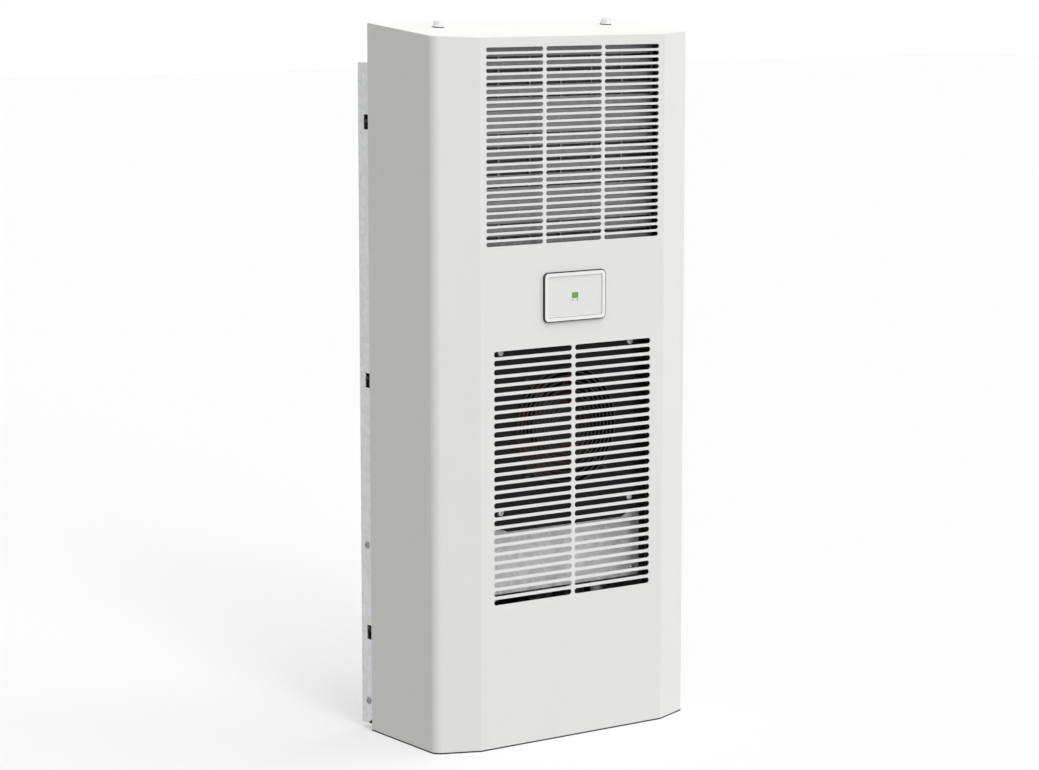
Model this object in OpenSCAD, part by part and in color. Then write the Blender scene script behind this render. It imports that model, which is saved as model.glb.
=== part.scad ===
// Enclosure cooling unit: folded steel cover, galvanised rear chassis, and two separate air circuits.
// The outer circuit draws air in through the upper grille, over the condenser, and blows it out
// through the lower grille. The inner circuit draws enclosure air in through the round rear inlet,
// over the evaporator, and returns it through the rear outlet.
// X runs to the right, +Y to the rear and +Z up. The origin is the bottom centre of the whole unit.

/* [Overall] */
// Width across the folded cover
cover_w = 420; // [410:1:440]
// Depth of the cover, from its front to its rear edge
cover_d = 179; // [176:1:186]
// Depth from the cover's front to the mounting face
body_d = 206; // [203:1:212]
// Height at the rear edge of the roof
unit_h = 965; // [960:1:990]
// Slope of the roof in degrees, falling to the front
roof_slope = 5.2; // [4:0.1:6]

/* [Cover] */
// Sheet thickness of the cover
cover_t = 1.5; // [1:0.1:2]
// Width of each front chamfer, seen from the front
chamfer_w = 58.5; // [50:0.5:62]
// Depth of each front chamfer
chamfer_d = 24; // [22:0.2:28]
// Outside radius of the bends between side and chamfer
side_bend_r = 14; // [8:1:18]
// Outside radius of the bends between chamfer and front
front_bend_r = 4; // [3:0.5:8]
// Height of the closed strip at the top of the cover's rear
rear_flange_h = 52; // [40:1:52]

/* [Upper grille] */
// Slot rows
upper_rows = 29; // [10:1:30]
// Slot columns
upper_cols = 3; // [2:1:4]
// Distance from row to row
upper_pitch = 9.06; // [8.5:0.01:9.3]
// Height of a slot
upper_slot_h = 5.9; // [4:0.1:6.5]
// Width of the slotted field
upper_field_w = 284.2; // [240:0.2:290]
// Width of the bars between columns
upper_bar = 4.7; // [3:0.1:8]
// Distance of the first row below the front edge of the roof
upper_margin = 16; // [12:0.2:18]

/* [Lower grille] */
// Slot rows
lower_rows = 29; // [10:1:30]
// Slot columns
lower_cols = 2; // [1:1:3]
// Distance from row to row
lower_pitch = 11.9; // [10.5:0.05:12]
// Height of a slot
lower_slot_h = 7.7; // [5:0.1:8.2]
// Width of the slotted field
lower_field_w = 260.4; // [220:0.2:270]
// Width of the bars between columns
lower_bar = 4.9; // [3:0.1:8]
// Height of the first row
lower_top_z = 533.4; // [530:0.2:540]

/* [Display] */
// Width of the display frame
display_w = 102; // [90:1:110]
// Height of the display frame
display_h = 67; // [58:0.5:68]
// How far the frame stands out of the cover
display_proud = 4; // [4:0.5:8]
// Corner radius of the frame
display_r = 7; // [3:0.5:8]
// Height of the display's centre
display_z = 603.5; // [600:0.5:608]

/* [Rear chassis] */
// Sheet thickness of the chassis
chassis_t = 1.5; // [1:0.1:2]
// Depth of the chassis sides
chassis_d = 114; // [110:1:118]
// Height of the chassis's lower edge
chassis_base_z = 8; // [4:1:12]
// Height of a spanner window in the chassis side
window_h = 20; // [16:1:24]
// Depth of a spanner window
window_d = 37; // [30:1:40]
// Diameter of the warm air inlet
inlet_d = 172; // [160:1:176]
// Width of the cold air outlet
outlet_w = 290; // [240:1:300]
// Height of the cold air outlet
outlet_h = 60; // [50:1:70]
// Distance of the mounting threads from the cover's sides
mount_edge = 17; // [16:0.5:19]
// Thickness of the foam gasket
gasket_t = 3; // [2:0.5:5]
// Width of the foam gasket
gasket_w = 14; // [10:1:14]

/* [Outer circuit] */
// Depth of the coil guard behind the cover's front
guard_d = 30; // [28:0.5:34]
// Pitch of the guard's slots across
guard_pitch_x = 50.8; // [46:0.1:51.5]
// Pitch of the guard's slots in height
guard_pitch_z = 16.93; // [15:0.01:17.5]
// Height of a guard slot
guard_slot_h = 3.8; // [3:0.1:8]
// Tubes in each row of the condenser
condenser_tubes_n = 11; // [7:2:11]
// Fins of the condenser
condenser_fins_n = 56; // [20:1:64]
// Outside diameter of the refrigerant tube
tube_od = 9.52; // [8:0.01:9.6]
// Distance from tube to tube
tube_pitch = 25.4; // [24:0.1:25.6]
// Diameter of the axial fan's opening
fan_d = 165; // [150:1:170]
// Height of the axial fan's axis
fan_z = 425; // [422:1:430]
// Spacing of the four fan plate screws
fan_screw_pitch = 215.5; // [210:1:218]
// Blades of the axial fan
fan_blades = 7; // [3:1:8]

/* [Inner circuit] */
// Blades of the radial fan
radial_blades = 7; // [5:1:9]
// Outside diameter of the radial impeller
radial_d = 190; // [180:1:196]
// Tubes in each row of the evaporator
evaporator_tubes_n = 9; // [5:2:9]
// Fins of the evaporator
evaporator_fins_n = 40; // [20:1:48]

/* [Hidden] */
$fn = 48;

// Overrun of every cut, and the usual running and assembly clearances
over = 1;
running_gap = 0.03;
hole_gap = 0.05;
collar_gap = 0.1;
seat_gap = 0.3;
bend_steps = 6;

// Places in depth: the front face of the cover is at y_front and depths count from it
overall_d = display_proud + body_d + gasket_t;
y_front = display_proud - overall_d / 2;
function y_at(d) = y_front + d;

// Roof height over a depth, and the height of the front edge
function roof_z(d) = unit_h - (cover_d - d) * tan(roof_slope);
front_h = roof_z(0);

// Base tray
tray_t = 1.5;
tray_upstand = 48;
tray_tab_inset = 0.4;
tray_tab_gap_from = 108;
tray_tab_gap_to = 135;
tray_tab_side = 182;
tray_tab_d = 24;
tray_step_gap = 4;
tray_step_d = cover_d - tray_step_gap;

// Chassis
chassis_gap = 0.3;
chassis_x = cover_w / 2 - cover_t - chassis_gap;
chassis_in_x = chassis_x - chassis_t;
chassis_front = body_d - chassis_d;
chassis_top_z = unit_h - rear_flange_h - over;
chassis_h = chassis_top_z - chassis_base_z;
wall_d = body_d - chassis_t;
side_cut_h = 12;
side_cut_rear = 14;
side_cut_z = chassis_base_z + side_cut_h;
window_rear = 14;
window_z_shares = [0.142, 0.527, 0.913];
inlet_drop = 112;
inlet_z = chassis_top_z - inlet_drop;
outlet_z = 306;
outlet_base_z = outlet_z - outlet_h / 2;
outlet_top_z = outlet_z + outlet_h / 2;

// Mounting threads
mount_w = cover_w - 2 * mount_edge;
nut_bore_r = 4;
nut_r = 5.5;
nut_l = 14;
nut_flange_r = 7;
nut_flange_t = 1;

// Side rivets
rivet_r = 2;
rivet_head_r = 5;
rivet_head_t = 1.8;
rivet_low = [189.5, 40];
rivet_high = [191, 257];

// Gasket
gasket_edge = 28;
gasket_r = 12;

// Roof bolts
roof_bolt_x = 138.8;
roof_bolt_d = 116;
bolt_r = 4;
bolt_l = 22;
bolt_flange_r = 7.6;
bolt_flange_t = 1.8;
bolt_head_af = 13;
bolt_head_h = 5.6;
washer_r = 7.8;
washer_t = 1.2;
bracket_w = 40;
bracket_front = 100;
bracket_run = 34;
bracket_t = 1.5;
weld_nut_af = 13;
weld_nut_h = 6.5;

// Partition and shelf between the circuits
partition_t = 1;
partition_set = 1;
partition_d = chassis_front + partition_set;
shelf_z = 243;
shelf_lip_h = 26;
shelf_lip_d = 50;

// Foam housing of the inner circuit
housing_wall = 9;
housing_side = 20.5;
housing_x = chassis_in_x - housing_side;
housing_front = partition_d + partition_t;
housing_base = shelf_z + partition_t;
housing_top = chassis_top_z - chassis_t - seat_gap;
cavity_x = housing_x - housing_wall;
cavity_front = housing_front + housing_wall;
cavity_base = housing_base + housing_wall;

// Finned coils: two rows of tubes joined by return bends
tube_r = tube_od / 2;
bend_r = tube_pitch / 2;
row_gap = 22;
coil_edge = 12.7;
fin_t = 0.6;
fin_d = 44;
end_plate_t = 1.5;
header_r = 7;
header_boss = 12;
header_gap = 10;
evap_header_x = cavity_x - header_gap;

// Condenser, hung below the roof
guard_t = 1.2;
guard_x = 154;
guard_side = 2;
guard_top_gap = 3;
guard_back = guard_d + guard_t;
guard_top_z = roof_z(guard_d) - cover_t - guard_top_gap;
guard_first_slot = 26.3;
condenser_x = 152;
condenser_gap = 2;
condenser_row_d = guard_back + condenser_gap + fin_d / 2;
condenser_top_gap = 4;
condenser_h = condenser_tubes_n * tube_pitch;
condenser_base = guard_top_z - condenser_top_gap - condenser_h;
condenser_header_high_x = 184;
condenser_header_low_x = evap_header_x;

// Fan box and fan plate
fan_plate_t = 2;
fan_plate_d = 18;
fan_plate_w = 235;
fan_plate_base = 290;
fan_plate_top = 560;
fan_plate_cut_w = 22;
fan_plate_cut_h = 12;
fan_box_t = 1.2;
fan_box_front = fan_plate_d + fan_plate_t;
fan_box_hole_r = 96;
nozzle_t = 1.5;
nozzle_l = 26;
fan_screw_r = 2;
fan_screw_head_r = 4.6;
fan_screw_head_t = 3;
fan_screw_l = 12;
screw_crown_share = 0.7;

// Finger guard of the axial fan
ring_wire_r = 1.15;
ring_count = 11;
ring_first_r = 19;
ring_last_r = 81;
spoke_count = 4;
spoke_reach = 92;
eye_r = 5;
eye_t = 1.5;
guard_screw_r = 1.8;
guard_screw_head_r = 3.4;
guard_screw_head_t = 2;

// Axial fan
arm_r = 2.5;
arm_place_r = 89.5;
arm_foot_r = 4;
hub_disc_r = 36;
hub_disc_t = 3;
motor_rear_d = 78;
stator_flange_r = 33;
stator_flange_t = 3;
stator_core_r = 27;
stator_core_l = 26;
rotor_r = 34;
rotor_wall = 3;
rotor_l = 34;
shaft_r = 4;
shaft_bore_l = 22;
rotor_run = 3;
axial_tip_gap = 3.5;
axial_depth = 34;
blade_t = 2;
blade_chord = 52;
blade_camber = 5;
blade_pitch = 32;
blade_ring_t = 2;

// Electrical box below the fan
box_x = 148;
box_t = 1.2;
box_front = 51.5;
box_base = 200;
box_top = 286;
lid_t = 1.5;
lid_edge = 2;
lid_screw_inset_x = 10;
lid_screw_inset_z = 9;
lid_screw_r = 2;
lid_screw_head_r = 4;
lid_screw_head_t = 2.4;
lid_screw_l = 9;
lid_boss_r = 8.4;
board_w = 200;
board_h = 64;
board_t = 1.6;
board_stand = 5;
board_x = -30;
post_r = 3;
relay_w = 19;
relay_d = 15;
relay_h = 15;
relay_step = 30;
relay_count = 4;
transformer_w = 38;
transformer_h = 32;
transformer_d = 28;
capacitor_r = 15;
capacitor_l = 54;
capacitor_x = 81;
terminal_w = 48;
terminal_h = 10;
terminal_d = 12;

// Compressor and accumulator
comp_x = -84;
comp_set = 25;
comp_d = chassis_front + comp_set;
comp_r = 56;
comp_base = 24;
comp_h = 156;
comp_dome = 26;
comp_seam_r = 57.5;
comp_seam_h = 6;
comp_foot_t = 3;
comp_foot_z = 16;
comp_foot_r = 72;
comp_foot_lobe = 15;
comp_foot_arm = 24;
grommet_r = 12;
grommet_neck_r = 8;
grommet_collar = 3;
stud_r = 4;
stud_h = 34;
stud_nut_af = 13;
stud_nut_h = 6.5;
stud_washer_r = 11;
stud_washer_t = 1.6;
comp_stub_x = -26;
comp_stub_r = 7;
comp_stub_top = 192;
cap_r = 17;
cap_h = 24;
accum_x = 5;
accum_back = 30;
accum_d = comp_d + accum_back;
accum_r = 25;
accum_base = 52;
accum_h = 122;
accum_dome = 14;
accum_stub_top = 190;
accum_link_z = 74;

// Refrigerant lines
line_bend = 12;
discharge_z = 222;
suction_z = 215;
liquid_low_z = 30;
riser_gap = 12.5;
riser_d = wall_d - riser_gap;
drier_r = 11;
drier_base = 62;
drier_h = 104;
drier_neck_r = 7;
drier_neck_h = 10;
valve_half = 8.5;
valve_h = 26;
valve_neck_r = 6;
valve_neck_l = 6;
valve_head_r = 11;
valve_head_h = 8;
valve_z = 352;
line_hole_r = tube_r + seat_gap;

// Evaporator
pan_base = 384;
pan_h = 9;
pan_t = 2;
pan_run = 76;
pan_back = cavity_front + pan_run;
evap_base = pan_base + pan_t;
evap_side = 26;
evap_x = cavity_x - evap_side;
evap_set = 46;
evap_row_d = cavity_front + evap_set;
evap_h = evaporator_tubes_n * tube_pitch;
evap_port_d = evap_row_d + row_gap / 2 + header_r;
baffle_t = 1;
drain_x = 60;
drain_set = 12;
drain_d = cavity_front + drain_set;
spout_r = 8;
spout_bore_r = 6;
spout_l = 20;
drain_wall = 1.5;

// Radial fan
ring_flange_r = 97;
ring_flange_t = 1.5;
ring_throat_r = 61;
ring_depth = 17.5;
ring_throat_d = wall_d - ring_depth;
ring_wall = 1.5;
radial_bracket_w = 120;
radial_bracket_t = 2;
radial_flange_r = 44;
radial_flange_t = 3;
radial_core_r = 40;
radial_core_l = 30;
radial_rotor_r = 46;
radial_rotor_wall = 3;
radial_rotor_l = 38;
radial_blade_t = 1.5;
radial_blade_h = 34;
radial_blade_rim = 1;
radial_blade_in_share = 0.7;
radial_blade_arc_share = 0.62;
radial_plate_t = 2;
radial_eye_r = 65;
radial_eye_l = 8;
radial_mouth_r = 75;

// Power connector in the rear wall
plug_x = 60;
plug_z = 96;
plug_w = 58;
plug_h = 18;
plug_l = 22;
plug_rim = 3;
plug_rim_t = 1.2;
plug_ways = 5;
plug_way_w = 6;
plug_way_h = 9;
plug_way_d = 12;

// Display
display_skin = 2;
display_rim = 6;
display_collar = 1.4;
display_frame_t = 0.8;
display_recess = 1.2;
display_panel_gap = 0.3;
display_panel_t = 1.6;
display_case_w = 84;
display_case_h = 54;
display_case_d = 12;
display_case_wall = 2;
display_hole_gap = 0.5;
led_w = 10;
led_h = 7.5;
led_z = 1;
led_proud = 0.4;
dot_r = 1;
dot_gap = 7.5;
dot_z = -5.5;

cover_colour = [0.84, 0.84, 0.82];
zinc = [0.72, 0.73, 0.74];
dark = [0.16, 0.16, 0.17];
black = [0.09, 0.09, 0.1];
copper = [0.72, 0.42, 0.28];
fin_colour = [0.8, 0.81, 0.82];
foam = [0.2, 0.21, 0.22];
steel = [0.78, 0.79, 0.8];
white = [0.94, 0.94, 0.93];

// Unit vectors and points of a bent outline
function unit(v) = v / norm(v);
function turn_left(v) = [-v[1], v[0]];
function inset_corner(a, b, c, t) =
    let (n1 = turn_left(unit(b - a)), n2 = turn_left(unit(c - b)))
    b + t * (n1 + n2) / (1 + n1 * n2);
function corner_arc(a, b, c, r, steps) =
    let (
        u1 = unit(b - a),
        u2 = unit(c - b),
        turn = atan2(u1[0] * u2[1] - u1[1] * u2[0], u1 * u2),
        n1 = turn_left(u1),
        centre = b - r * tan(turn / 2) * u1 + r * n1
    )
    [for (k = [0:steps]) let (f = turn * k / steps) centre - r * (cos(f) * n1 + sin(f) * turn_left(n1))];

// Plan of the cover, set in by a distance, from its left rear edge round the front to its right
function cover_plan(inset) =
    let (
        w = cover_w / 2,
        rear = y_at(cover_d),
        p = [[-w, rear], [-w, y_at(chamfer_d)], [chamfer_w - w, y_front],
            [w - chamfer_w, y_front], [w, y_at(chamfer_d)], [w, rear]],
        q = [for (i = [0:5]) i == 0 ? p[0] + [inset, 0] : i == 5 ? p[5] - [inset, 0]
            : inset_corner(p[i - 1], p[i], p[i + 1], inset)],
        radii = [0, side_bend_r, front_bend_r, front_bend_r, side_bend_r]
    )
    concat([q[0]],
        [for (i = [1:4]) each corner_arc(q[i - 1], q[i], q[i + 1], radii[i] - inset / 2, bend_steps)],
        [q[5]]);

// Rectangle with round corners, centred
function round_rect(w, h, r) =
    let (c = [[-w / 2, -h / 2], [w / 2, -h / 2], [w / 2, h / 2], [-w / 2, h / 2]])
    [for (i = [0:3]) each corner_arc(c[(i + 3) % 4], c[i], c[(i + 1) % 4], r, bend_steps)];

// A box between two places across, in depth and in height
module block(x0, x1, d0, d1, z0, z1) {
    translate([x0, y_at(d0), z0]) cube([x1 - x0, d1 - d0, z1 - z0]);
}

// A profile drawn in X and Z, extruded to the rear from a depth
module along_depth(d0, run) {
    translate([0, y_at(d0) + run, 0]) rotate([90, 0, 0]) linear_extrude(run) children();
}

// A profile drawn in Y and Z, extruded across about a centre
module across(x, w) {
    translate([x, 0, 0]) rotate([90, 0, 90]) linear_extrude(w, center = true) children();
}

// A form drawn about Z, turned so that it points to the rear
module about_y(x, d, z) {
    translate([x, y_at(d), z]) rotate([-90, 0, 0]) children();
}

module ring(r_out, r_in, h) {
    difference() {
        cylinder(h = h, r = r_out);
        translate([0, 0, -over]) cylinder(h = h + 2 * over, r = r_in);
    }
}

module hex(af, h) {
    cylinder(h = h, d = af / cos(30), $fn = 6);
}

// Places the children on the roof's surface, on both sides
module on_roof() {
    for (side = [-1, 1])
        translate([side * roof_bolt_x, y_at(roof_bolt_d), roof_z(roof_bolt_d)])
            rotate([roof_slope, 0, 0]) children();
}

// One slot with round ends, drawn in X and Z
module slot(w, h) {
    square([w - h, h], center = true);
    for (side = [-1, 1]) translate([side * (w - h) / 2, 0]) circle(d = h);
}

// A field of slots, its first row at height z
module grille(rows, cols, pitch, slot_h, field_w, bar, z) {
    slot_w = (field_w - (cols - 1) * bar) / cols;
    for (i = [0:rows - 1], j = [0:cols - 1])
        translate([(j - (cols - 1) / 2) * (slot_w + bar), z - i * pitch]) slot(slot_w, slot_h);
}

// Folded cover
module cover_block(inset, base) {
    drop = inset / cos(roof_slope);
    intersection() {
        translate([0, 0, base]) linear_extrude(unit_h + over) polygon(cover_plan(inset));
        across(0, cover_w + 2 * over)
            polygon([[y_at(-over), base - over], [y_at(cover_d + over), base - over],
                [y_at(cover_d + over), roof_z(cover_d + over) - drop],
                [y_at(-over), roof_z(-over) - drop]]);
    }
}

module cover_hood() {
    inner_x = cover_w / 2 - cover_t;
    color(cover_colour) difference() {
        cover_block(0, tray_t);
        intersection() {
            cover_block(cover_t, -over);
            block(-inner_x, inner_x, 0, cover_d - cover_t, -over, unit_h);
        }
        block(-inner_x, inner_x, cover_d - cover_t - over, cover_d + over, -over, unit_h - rear_flange_h);
        along_depth(-over, cover_t + 2 * over)
            grille(upper_rows, upper_cols, upper_pitch, upper_slot_h, upper_field_w, upper_bar,
                front_h - upper_margin);
        along_depth(-over, cover_t + 2 * over)
            grille(lower_rows, lower_cols, lower_pitch, lower_slot_h, lower_field_w, lower_bar, lower_top_z);
        translate([0, 0, display_z]) along_depth(-over, cover_t + 2 * over)
            square([display_case_w + 2 * display_hole_gap, display_case_h + 2 * display_hole_gap],
                center = true);
        on_roof() translate([0, 0, -2 * cover_t]) cylinder(h = 4 * cover_t, r = bolt_r + display_hole_gap);
    }
}

// Flanged hexagon bolts in the roof
module roof_bolts() {
    color(steel) on_roof() {
        translate([0, 0, washer_t]) cylinder(h = bolt_flange_t, r = bolt_flange_r);
        translate([0, 0, washer_t + bolt_flange_t]) intersection() {
            hex(bolt_head_af, bolt_head_h);
            cylinder(h = bolt_head_h + bolt_head_af, r1 = bolt_head_af, r2 = 0);
        }
        translate([0, 0, washer_t - bolt_l]) cylinder(h = bolt_l, r = bolt_r);
    }
}

module roof_washers() {
    color(black) on_roof() ring(washer_r, bolt_r + hole_gap, washer_t);
}

// Z-shaped brackets that carry the roof bolts on top of the chassis
module roof_brackets() {
    rise = bracket_run * tan(roof_slope);
    low = roof_z(bracket_front) - cover_t / cos(roof_slope);
    thick = bracket_t / cos(roof_slope);
    color(zinc) for (side = [-1, 1]) difference() {
        across(side * roof_bolt_x, bracket_w)
            polygon([[y_at(bracket_front), chassis_top_z],
                [y_at(bracket_front + bracket_run), chassis_top_z],
                [y_at(bracket_front + bracket_run), chassis_top_z + bracket_t],
                [y_at(bracket_front + bracket_t), chassis_top_z + bracket_t],
                [y_at(bracket_front + bracket_t), low - thick + bracket_t * tan(roof_slope)],
                [y_at(bracket_front + bracket_run), low - thick + rise],
                [y_at(bracket_front + bracket_run), low + rise], [y_at(bracket_front), low]]);
        on_roof() translate([0, 0, -cover_t - 2 * bracket_t])
            cylinder(h = 3 * bracket_t, r = bolt_r + display_hole_gap);
    }
}

module roof_nuts() {
    color(steel) on_roof() translate([0, 0, -cover_t - bracket_t - hole_gap - weld_nut_h]) difference() {
        hex(weld_nut_af, weld_nut_h);
        translate([0, 0, -over]) cylinder(h = weld_nut_h + 2 * over, r = bolt_r + hole_gap);
    }
}

// Height of a row of spanner windows and mounting threads
function window_z(i) = chassis_base_z + window_z_shares[i] * chassis_h;

module at_mounts(d) {
    for (side = [-1, 1], i = [0:2]) about_y(side * mount_w / 2, d, window_z(i)) children();
}

// Galvanised rear wall: an upper sheet that is folded over the top, a lower sheet, and two plates that
// join them beside the cold air outlet
module chassis() {
    color(zinc) difference() {
        union() {
            across(0, 2 * chassis_in_x) polygon([[y_at(chassis_front), chassis_top_z - chassis_t],
                [y_at(wall_d), chassis_top_z - chassis_t], [y_at(wall_d), outlet_top_z],
                [y_at(body_d), outlet_top_z], [y_at(body_d), chassis_top_z],
                [y_at(chassis_front), chassis_top_z]]);
            block(-chassis_in_x, chassis_in_x, wall_d, body_d, chassis_base_z, outlet_base_z);
            for (side = [0, 1]) mirror([side, 0, 0])
                block(outlet_w / 2, chassis_in_x, wall_d, body_d, outlet_base_z + hole_gap,
                    outlet_top_z - hole_gap);
        }
        about_y(0, wall_d - over, inlet_z) cylinder(h = chassis_t + 2 * over, d = inlet_d);
        at_mounts(wall_d - over) cylinder(h = chassis_t + 2 * over, r = nut_r + hole_gap);
        translate([plug_x, 0, plug_z]) along_depth(wall_d - over, chassis_t + 2 * over)
            square([plug_w + 2 * hole_gap, plug_h + 2 * hole_gap], center = true);
    }
}

// Side panels with the spanner windows, their lower edge raised in front and sloped down behind the cover
module side_panels() {
    color(zinc) for (side = [-1, 1]) difference() {
        across(side * (chassis_x - chassis_t / 2), chassis_t) difference() {
            polygon([[y_at(chassis_front), side_cut_z], [y_at(tray_step_d), side_cut_z],
                [y_at(body_d - side_cut_rear), chassis_base_z], [y_at(body_d), chassis_base_z],
                [y_at(body_d), chassis_top_z], [y_at(chassis_front), chassis_top_z]]);
            for (i = [0:2]) translate([y_at(body_d - window_rear - window_d), window_z(i) - window_h / 2])
                square([window_d, window_h]);
        }
        at_rivets() rivet_hole(chassis_t);
    }
}

// Places the children on the side panels, pointing outwards
module at_rivet(place) {
    for (side = [-1, 1])
        translate([side * chassis_x, y_at(place[0]), place[1]]) rotate([0, side * 90, 0]) children();
}

module at_rivets() {
    for (place = [rivet_low, rivet_high]) at_rivet(place) children();
}

// Hole through the side panel and a sheet of a given thickness behind it
module rivet_hole(t) {
    translate([0, 0, -chassis_t - t - over]) cylinder(h = chassis_t + t + 2 * over, r = rivet_r + hole_gap);
}

module rivet(t) {
    translate([0, 0, -chassis_t - t]) cylinder(h = chassis_t + t, r = rivet_r);
    cylinder(h = rivet_head_t, r1 = rivet_head_r, r2 = rivet_head_r / 2);
}

module side_rivets() {
    color(steel) {
        at_rivet(rivet_low) rivet(tray_t);
        at_rivet(rivet_high) rivet(partition_t);
    }
}

// Blind threads in the rear wall
module mounting_nuts() {
    color(steel) at_mounts(body_d) {
        translate([0, 0, -nut_l]) ring(nut_r, nut_bore_r, nut_l);
        ring(nut_flange_r, nut_bore_r, nut_flange_t);
    }
}

module rear_gasket() {
    w = 2 * (chassis_x - gasket_edge);
    h = chassis_h - 2 * gasket_edge;
    color(black) translate([0, 0, (chassis_base_z + chassis_top_z) / 2]) along_depth(body_d, gasket_t)
        difference() {
            polygon(round_rect(w, h, gasket_r));
            polygon(round_rect(w - 2 * gasket_w, h - 2 * gasket_w, gasket_r / 2));
        }
}

// Base tray: floor, upstands inside the chassis and tabs under the cover's front edge
module base_tray() {
    tab = cover_plan(tray_tab_inset);
    color(black) difference() {
        union() {
            linear_extrude(tray_t) union() {
                intersection() {
                    polygon(cover_plan(chassis_gap + cover_t + chassis_t));
                    translate([-cover_w, y_at(-over)]) square([2 * cover_w, tray_step_d + over]);
                }
                intersection() {
                    polygon(tab);
                    translate([-tray_tab_gap_from, y_at(-over)]) square([2 * tray_tab_gap_from, tray_tab_d]);
                }
                for (side = [0, 1]) mirror([side, 0]) intersection() {
                    polygon(tab);
                    translate([tray_tab_gap_to, y_at(-over)])
                        square([tray_tab_side - tray_tab_gap_to, tray_tab_d]);
                }
            }
            across(0, 2 * chassis_in_x) polygon([[y_at(tray_step_d - tray_t), 0], [y_at(tray_step_d), 0],
                [y_at(tray_step_d), chassis_base_z], [y_at(wall_d), chassis_base_z],
                [y_at(wall_d), tray_upstand], [y_at(wall_d - tray_t), tray_upstand],
                [y_at(wall_d - tray_t), chassis_base_z + tray_t],
                [y_at(tray_step_d - tray_t), chassis_base_z + tray_t]]);
            for (side = [-1, 1]) across(side * (chassis_in_x - tray_t / 2), tray_t)
                polygon([[y_at(chassis_front), 0], [y_at(tray_step_d), 0],
                    [y_at(tray_step_d), side_cut_z], [y_at(wall_d), side_cut_z],
                    [y_at(wall_d), tray_upstand], [y_at(chassis_front), tray_upstand]]);
        }
        translate([drain_x, y_at(drain_d), -over]) cylinder(h = tray_t + 2 * over, r = spout_bore_r);
        for (k = [0:2]) at_foot(k) translate([0, 0, -over]) cylinder(h = tray_t + 2 * over, r = stud_r);
        at_rivets() rivet_hole(tray_t);
    }
}

// Partition between the outer and inner circuits
module partition() {
    color(zinc)
        block(-chassis_in_x, chassis_in_x, partition_d, housing_front, shelf_z, chassis_top_z - chassis_t);
}

// Shelf under the foam housing, with a lip on each side panel
module housing_shelf() {
    color(zinc) difference() {
        union() {
            block(-chassis_in_x, chassis_in_x, housing_front, wall_d, shelf_z, housing_base);
            for (side = [0, 1]) mirror([side, 0, 0])
                block(chassis_in_x - partition_t, chassis_in_x, wall_d - shelf_lip_d, wall_d, housing_base,
                    shelf_z + shelf_lip_h);
        }
        shelf_holes(shelf_z);
        at_rivets() rivet_hole(partition_t);
    }
}

// Holes that the lines and the drain pass through
module shelf_holes(z) {
    run = housing_wall + partition_t + 2 * over;
    translate([0, 0, z - over]) {
        for (side = [-1, 1]) translate([side * evap_header_x, y_at(riser_d), 0])
            cylinder(h = run, r = line_hole_r);
        translate([drain_x, y_at(drain_d), 0]) cylinder(h = run, r = spout_r + drain_wall + seat_gap);
    }
}

// Slotted guard in front of the condenser
module coil_guard() {
    rows = floor((condenser_h - guard_first_slot) / guard_pitch_z) + 1;
    cols = floor(2 * guard_x / guard_pitch_x);
    slot_w = guard_pitch_x - guard_side;
    color(zinc) along_depth(guard_d, guard_t) difference() {
        translate([-guard_x, condenser_base]) square([2 * guard_x, guard_top_z - condenser_base]);
        for (i = [0:rows - 1], j = [0:cols - 1])
            translate([(j + 0.5 - cols / 2) * guard_pitch_x,
                guard_top_z - guard_first_slot - i * guard_pitch_z])
                square([slot_w, guard_slot_h], center = true);
    }
}

// Height of tube k of a coil that starts at a base
function tube_z(base, k) = base + coil_edge + k * tube_pitch;

// Places of both rows of tubes, in depth and height
module tube_places(row_d, base, n) {
    for (row = [-1, 1], k = [0:n - 1])
        translate([y_at(row_d) + row * row_gap / 2, tube_z(base, k)]) children();
}

// A plate across the coil, pierced by the tubes
module coil_plate(x, t, depth, row_d, base, h, n, hole) {
    across(x, t) difference() {
        translate([y_at(row_d) - depth / 2, base]) square([depth, h]);
        tube_places(row_d, base, n) circle(r = tube_r + hole);
    }
}

module fin_pack(half_w, count, row_d, base, h, n) {
    step = (2 * half_w - 2 * fin_t) / count;
    color(fin_colour) for (i = [0:count - 1])
        coil_plate((i + 0.5) * step - half_w + fin_t, fin_t, fin_d, row_d, base, h, n, collar_gap);
}

// A return bend from one tube end up to the next, on the side given by its sign
module return_bend(x, side, y, z) {
    translate([x, y, z + bend_r]) rotate([90, 0, 0]) rotate([0, 0, side > 0 ? -90 : 90])
        rotate_extrude(angle = 180) translate([bend_r, 0]) circle(r = tube_r);
}

// Tubes of a coil: the rows run from a lower header at the right to an upper header at the left
module coil_tubes(half_w, row_d, base, n, low_x, high_x, boss) {
    for (row = [-1, 1], k = [0:n - 1]) let (
        y = y_at(row_d) + row * row_gap / 2,
        left = k == n - 1 ? high_x : half_w,
        right = k == 0 ? low_x : half_w
    ) {
        translate([-left, y, tube_z(base, k)]) rotate([0, 90, 0]) cylinder(h = left + right, r = tube_r);
        if (k < n - 1)
            return_bend(k % 2 == 0 ? -half_w : half_w, k % 2 == 0 ? -1 : 1, y, tube_z(base, k));
    }
    for (end = [[low_x, 0], [-high_x, n - 1]])
        translate([end[0], y_at(row_d), tube_z(base, end[1])]) {
            rotate([90, 0, 0]) cylinder(h = row_gap + 2 * header_r, r = header_r, center = true);
            if (boss > 0) translate([0, 0, -boss]) cylinder(h = boss, r = header_r);
        }
}

module condenser_fins() {
    fin_pack(condenser_x, condenser_fins_n, condenser_row_d, condenser_base, condenser_h, condenser_tubes_n);
}

module condenser_tubes() {
    color(black) coil_tubes(condenser_x + end_plate_t, condenser_row_d, condenser_base, condenser_tubes_n,
        condenser_header_low_x, condenser_header_high_x, header_boss);
}

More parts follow.
